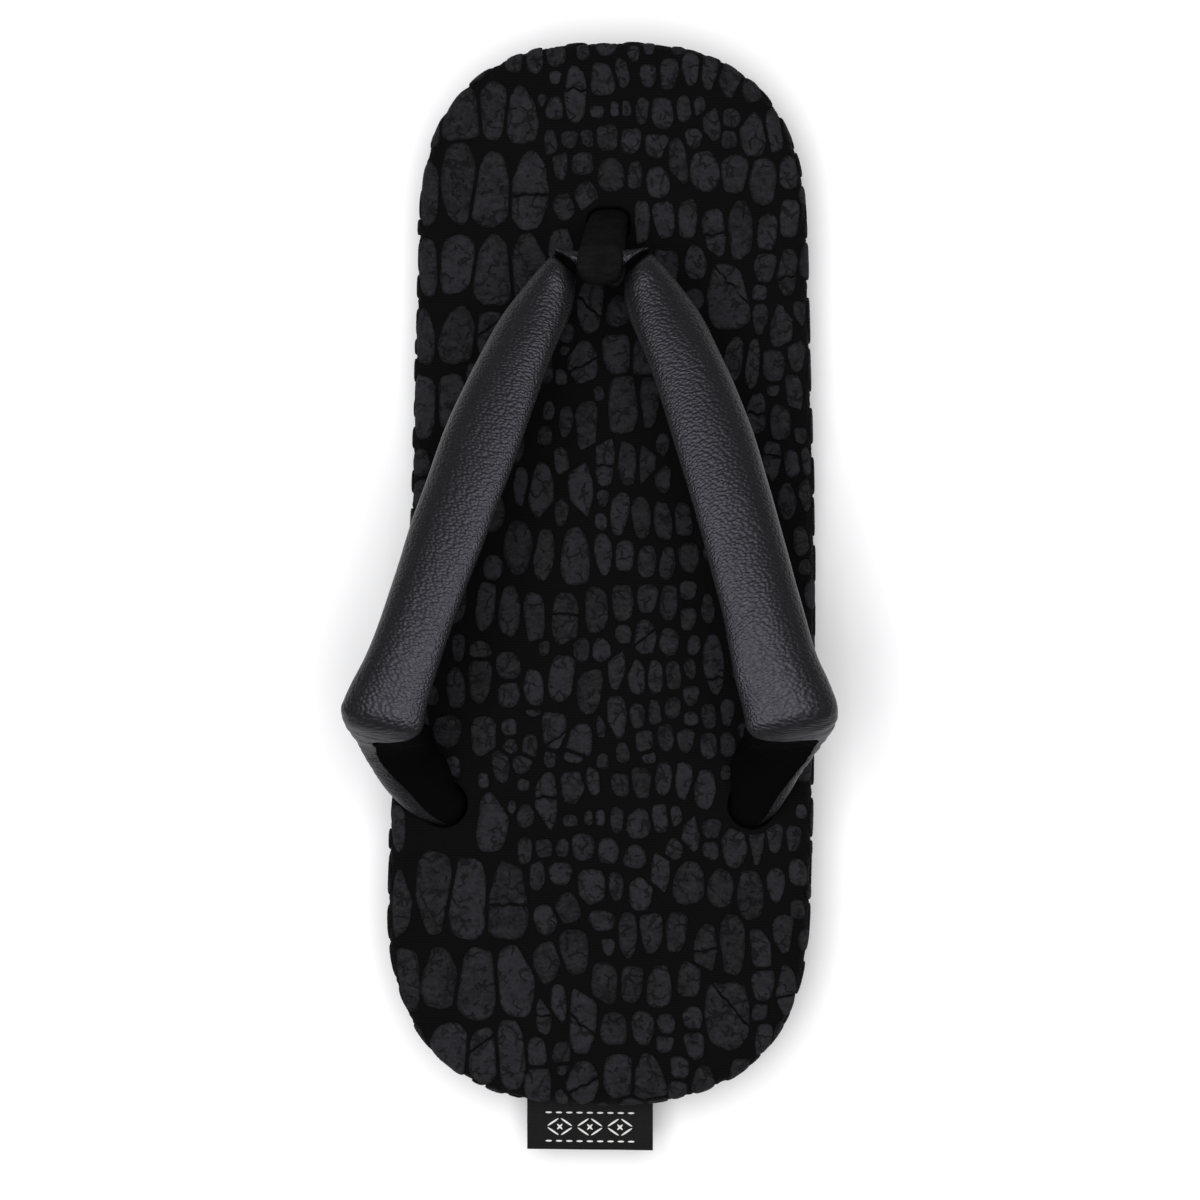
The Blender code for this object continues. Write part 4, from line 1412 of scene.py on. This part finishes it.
class SETTA_OT_stage(bpy.types.Operator):
    """Makes the paper floor, the soft light and the camera"""

    bl_idname = "setta.stage"
    bl_label = "Stage"

    # All in metres
    camera_x, camera_y = 0.0623, -0.0032
    aim = (0.0, 0.0, 0.02)
    seen_width = 0.300
    floor_half_width = 4.0
    softbox_width, softbox_height = 0.95, 1.1

    def execute(self, context):
        look = context.scene.setta_studio
        scene = context.scene
        scene.view_settings.view_transform = "Standard"
        bm = bmesh.new()
        bmesh.ops.create_grid(bm, x_segments=2, y_segments=2, size=self.floor_half_width)
        mesh = bpy.data.meshes.new("floor")
        bm.to_mesh(mesh)
        bm.free()
        mesh.materials.append(studio_paper(look))
        floor = bpy.data.objects.new("floor", mesh)
        scene.collection.objects.link(floor)

        world = bpy.data.worlds.new("white room")
        world.use_nodes = True
        background = world.node_tree.nodes["Background"]
        background.inputs["Color"].default_value = (1.0, 1.0, 1.0, 1.0)
        background.inputs["Strength"].default_value = look.room_light
        scene.world = world

        light = bpy.data.lights.new("overhead softbox", "AREA")
        light.shape = "RECTANGLE"
        light.size = light.size_y = self.softbox_width
        light.energy = look.overhead_power
        softbox = bpy.data.objects.new("overhead softbox", light)
        softbox.location = (0.0, 0.0, self.softbox_height)
        softbox.rotation_euler = (Vector((0, 0, 0)) - softbox.location).to_track_quat("-Z", "Y").to_euler()
        scene.collection.objects.link(softbox)

        lens = bpy.data.cameras.new("camera")
        camera = bpy.data.objects.new("camera", lens)
        camera.location = (self.camera_x, self.camera_y, look.camera_height)
        aim = Vector(self.aim) - camera.location
        right = aim.cross(Vector((0, 1, 0))).normalized()
        turned = Matrix((right, right.cross(aim).normalized(), -aim.normalized())).transposed()
        camera.rotation_euler = turned.to_euler()
        lens.angle = 2 * math.atan(self.seen_width / 2 / aim.length)
        lens.clip_start, lens.clip_end = 0.01, 20.0
        scene.collection.objects.link(camera)
        scene.camera = camera
        return {"FINISHED"}


PIECES = (
    SETTA_OT_stage,
    SETTA_OT_outsole,
    SETTA_OT_footbed,
    SETTA_OT_scales,
    SETTA_OT_strap,
    SETTA_OT_toe_loop,
    SETTA_OT_label,
)


class SETTA_PT_sandal(bpy.types.Panel):
    """Lists the sandal's pieces in the order in which they are made"""

    bl_idname = "SETTA_PT_sandal"
    bl_label = "Setta"
    bl_space_type = "VIEW_3D"
    bl_region_type = "UI"
    bl_category = "Setta"

    def draw(self, context):
        for operator in PIECES:
            self.layout.operator(operator.bl_idname)
        for name in LOOKS:
            group = getattr(context.scene, name)
            box = self.layout.box()
            for key in group.__annotations__:
                box.prop(group, key)


LOOKS = {
    "setta_sole": SoleLook,
    "setta_strap": StrapLook,
    "setta_loop": LoopLook,
    "setta_label": LabelLook,
    "setta_studio": StudioLook,
}
CLASSES = (*LOOKS.values(), *PIECES, SETTA_PT_sandal)


def register():
    for cls in CLASSES:
        bpy.utils.register_class(cls)
    for name, group in LOOKS.items():
        setattr(bpy.types.Scene, name, bpy.props.PointerProperty(type=group))


def unregister():
    for name in LOOKS:
        delattr(bpy.types.Scene, name)
    for cls in reversed(CLASSES):
        bpy.utils.unregister_class(cls)


def main():
    register()
    for operator in PIECES:
        family, name = operator.bl_idname.split(".")
        getattr(getattr(bpy.ops, family), name)()


if __name__ == "__main__":
    main()
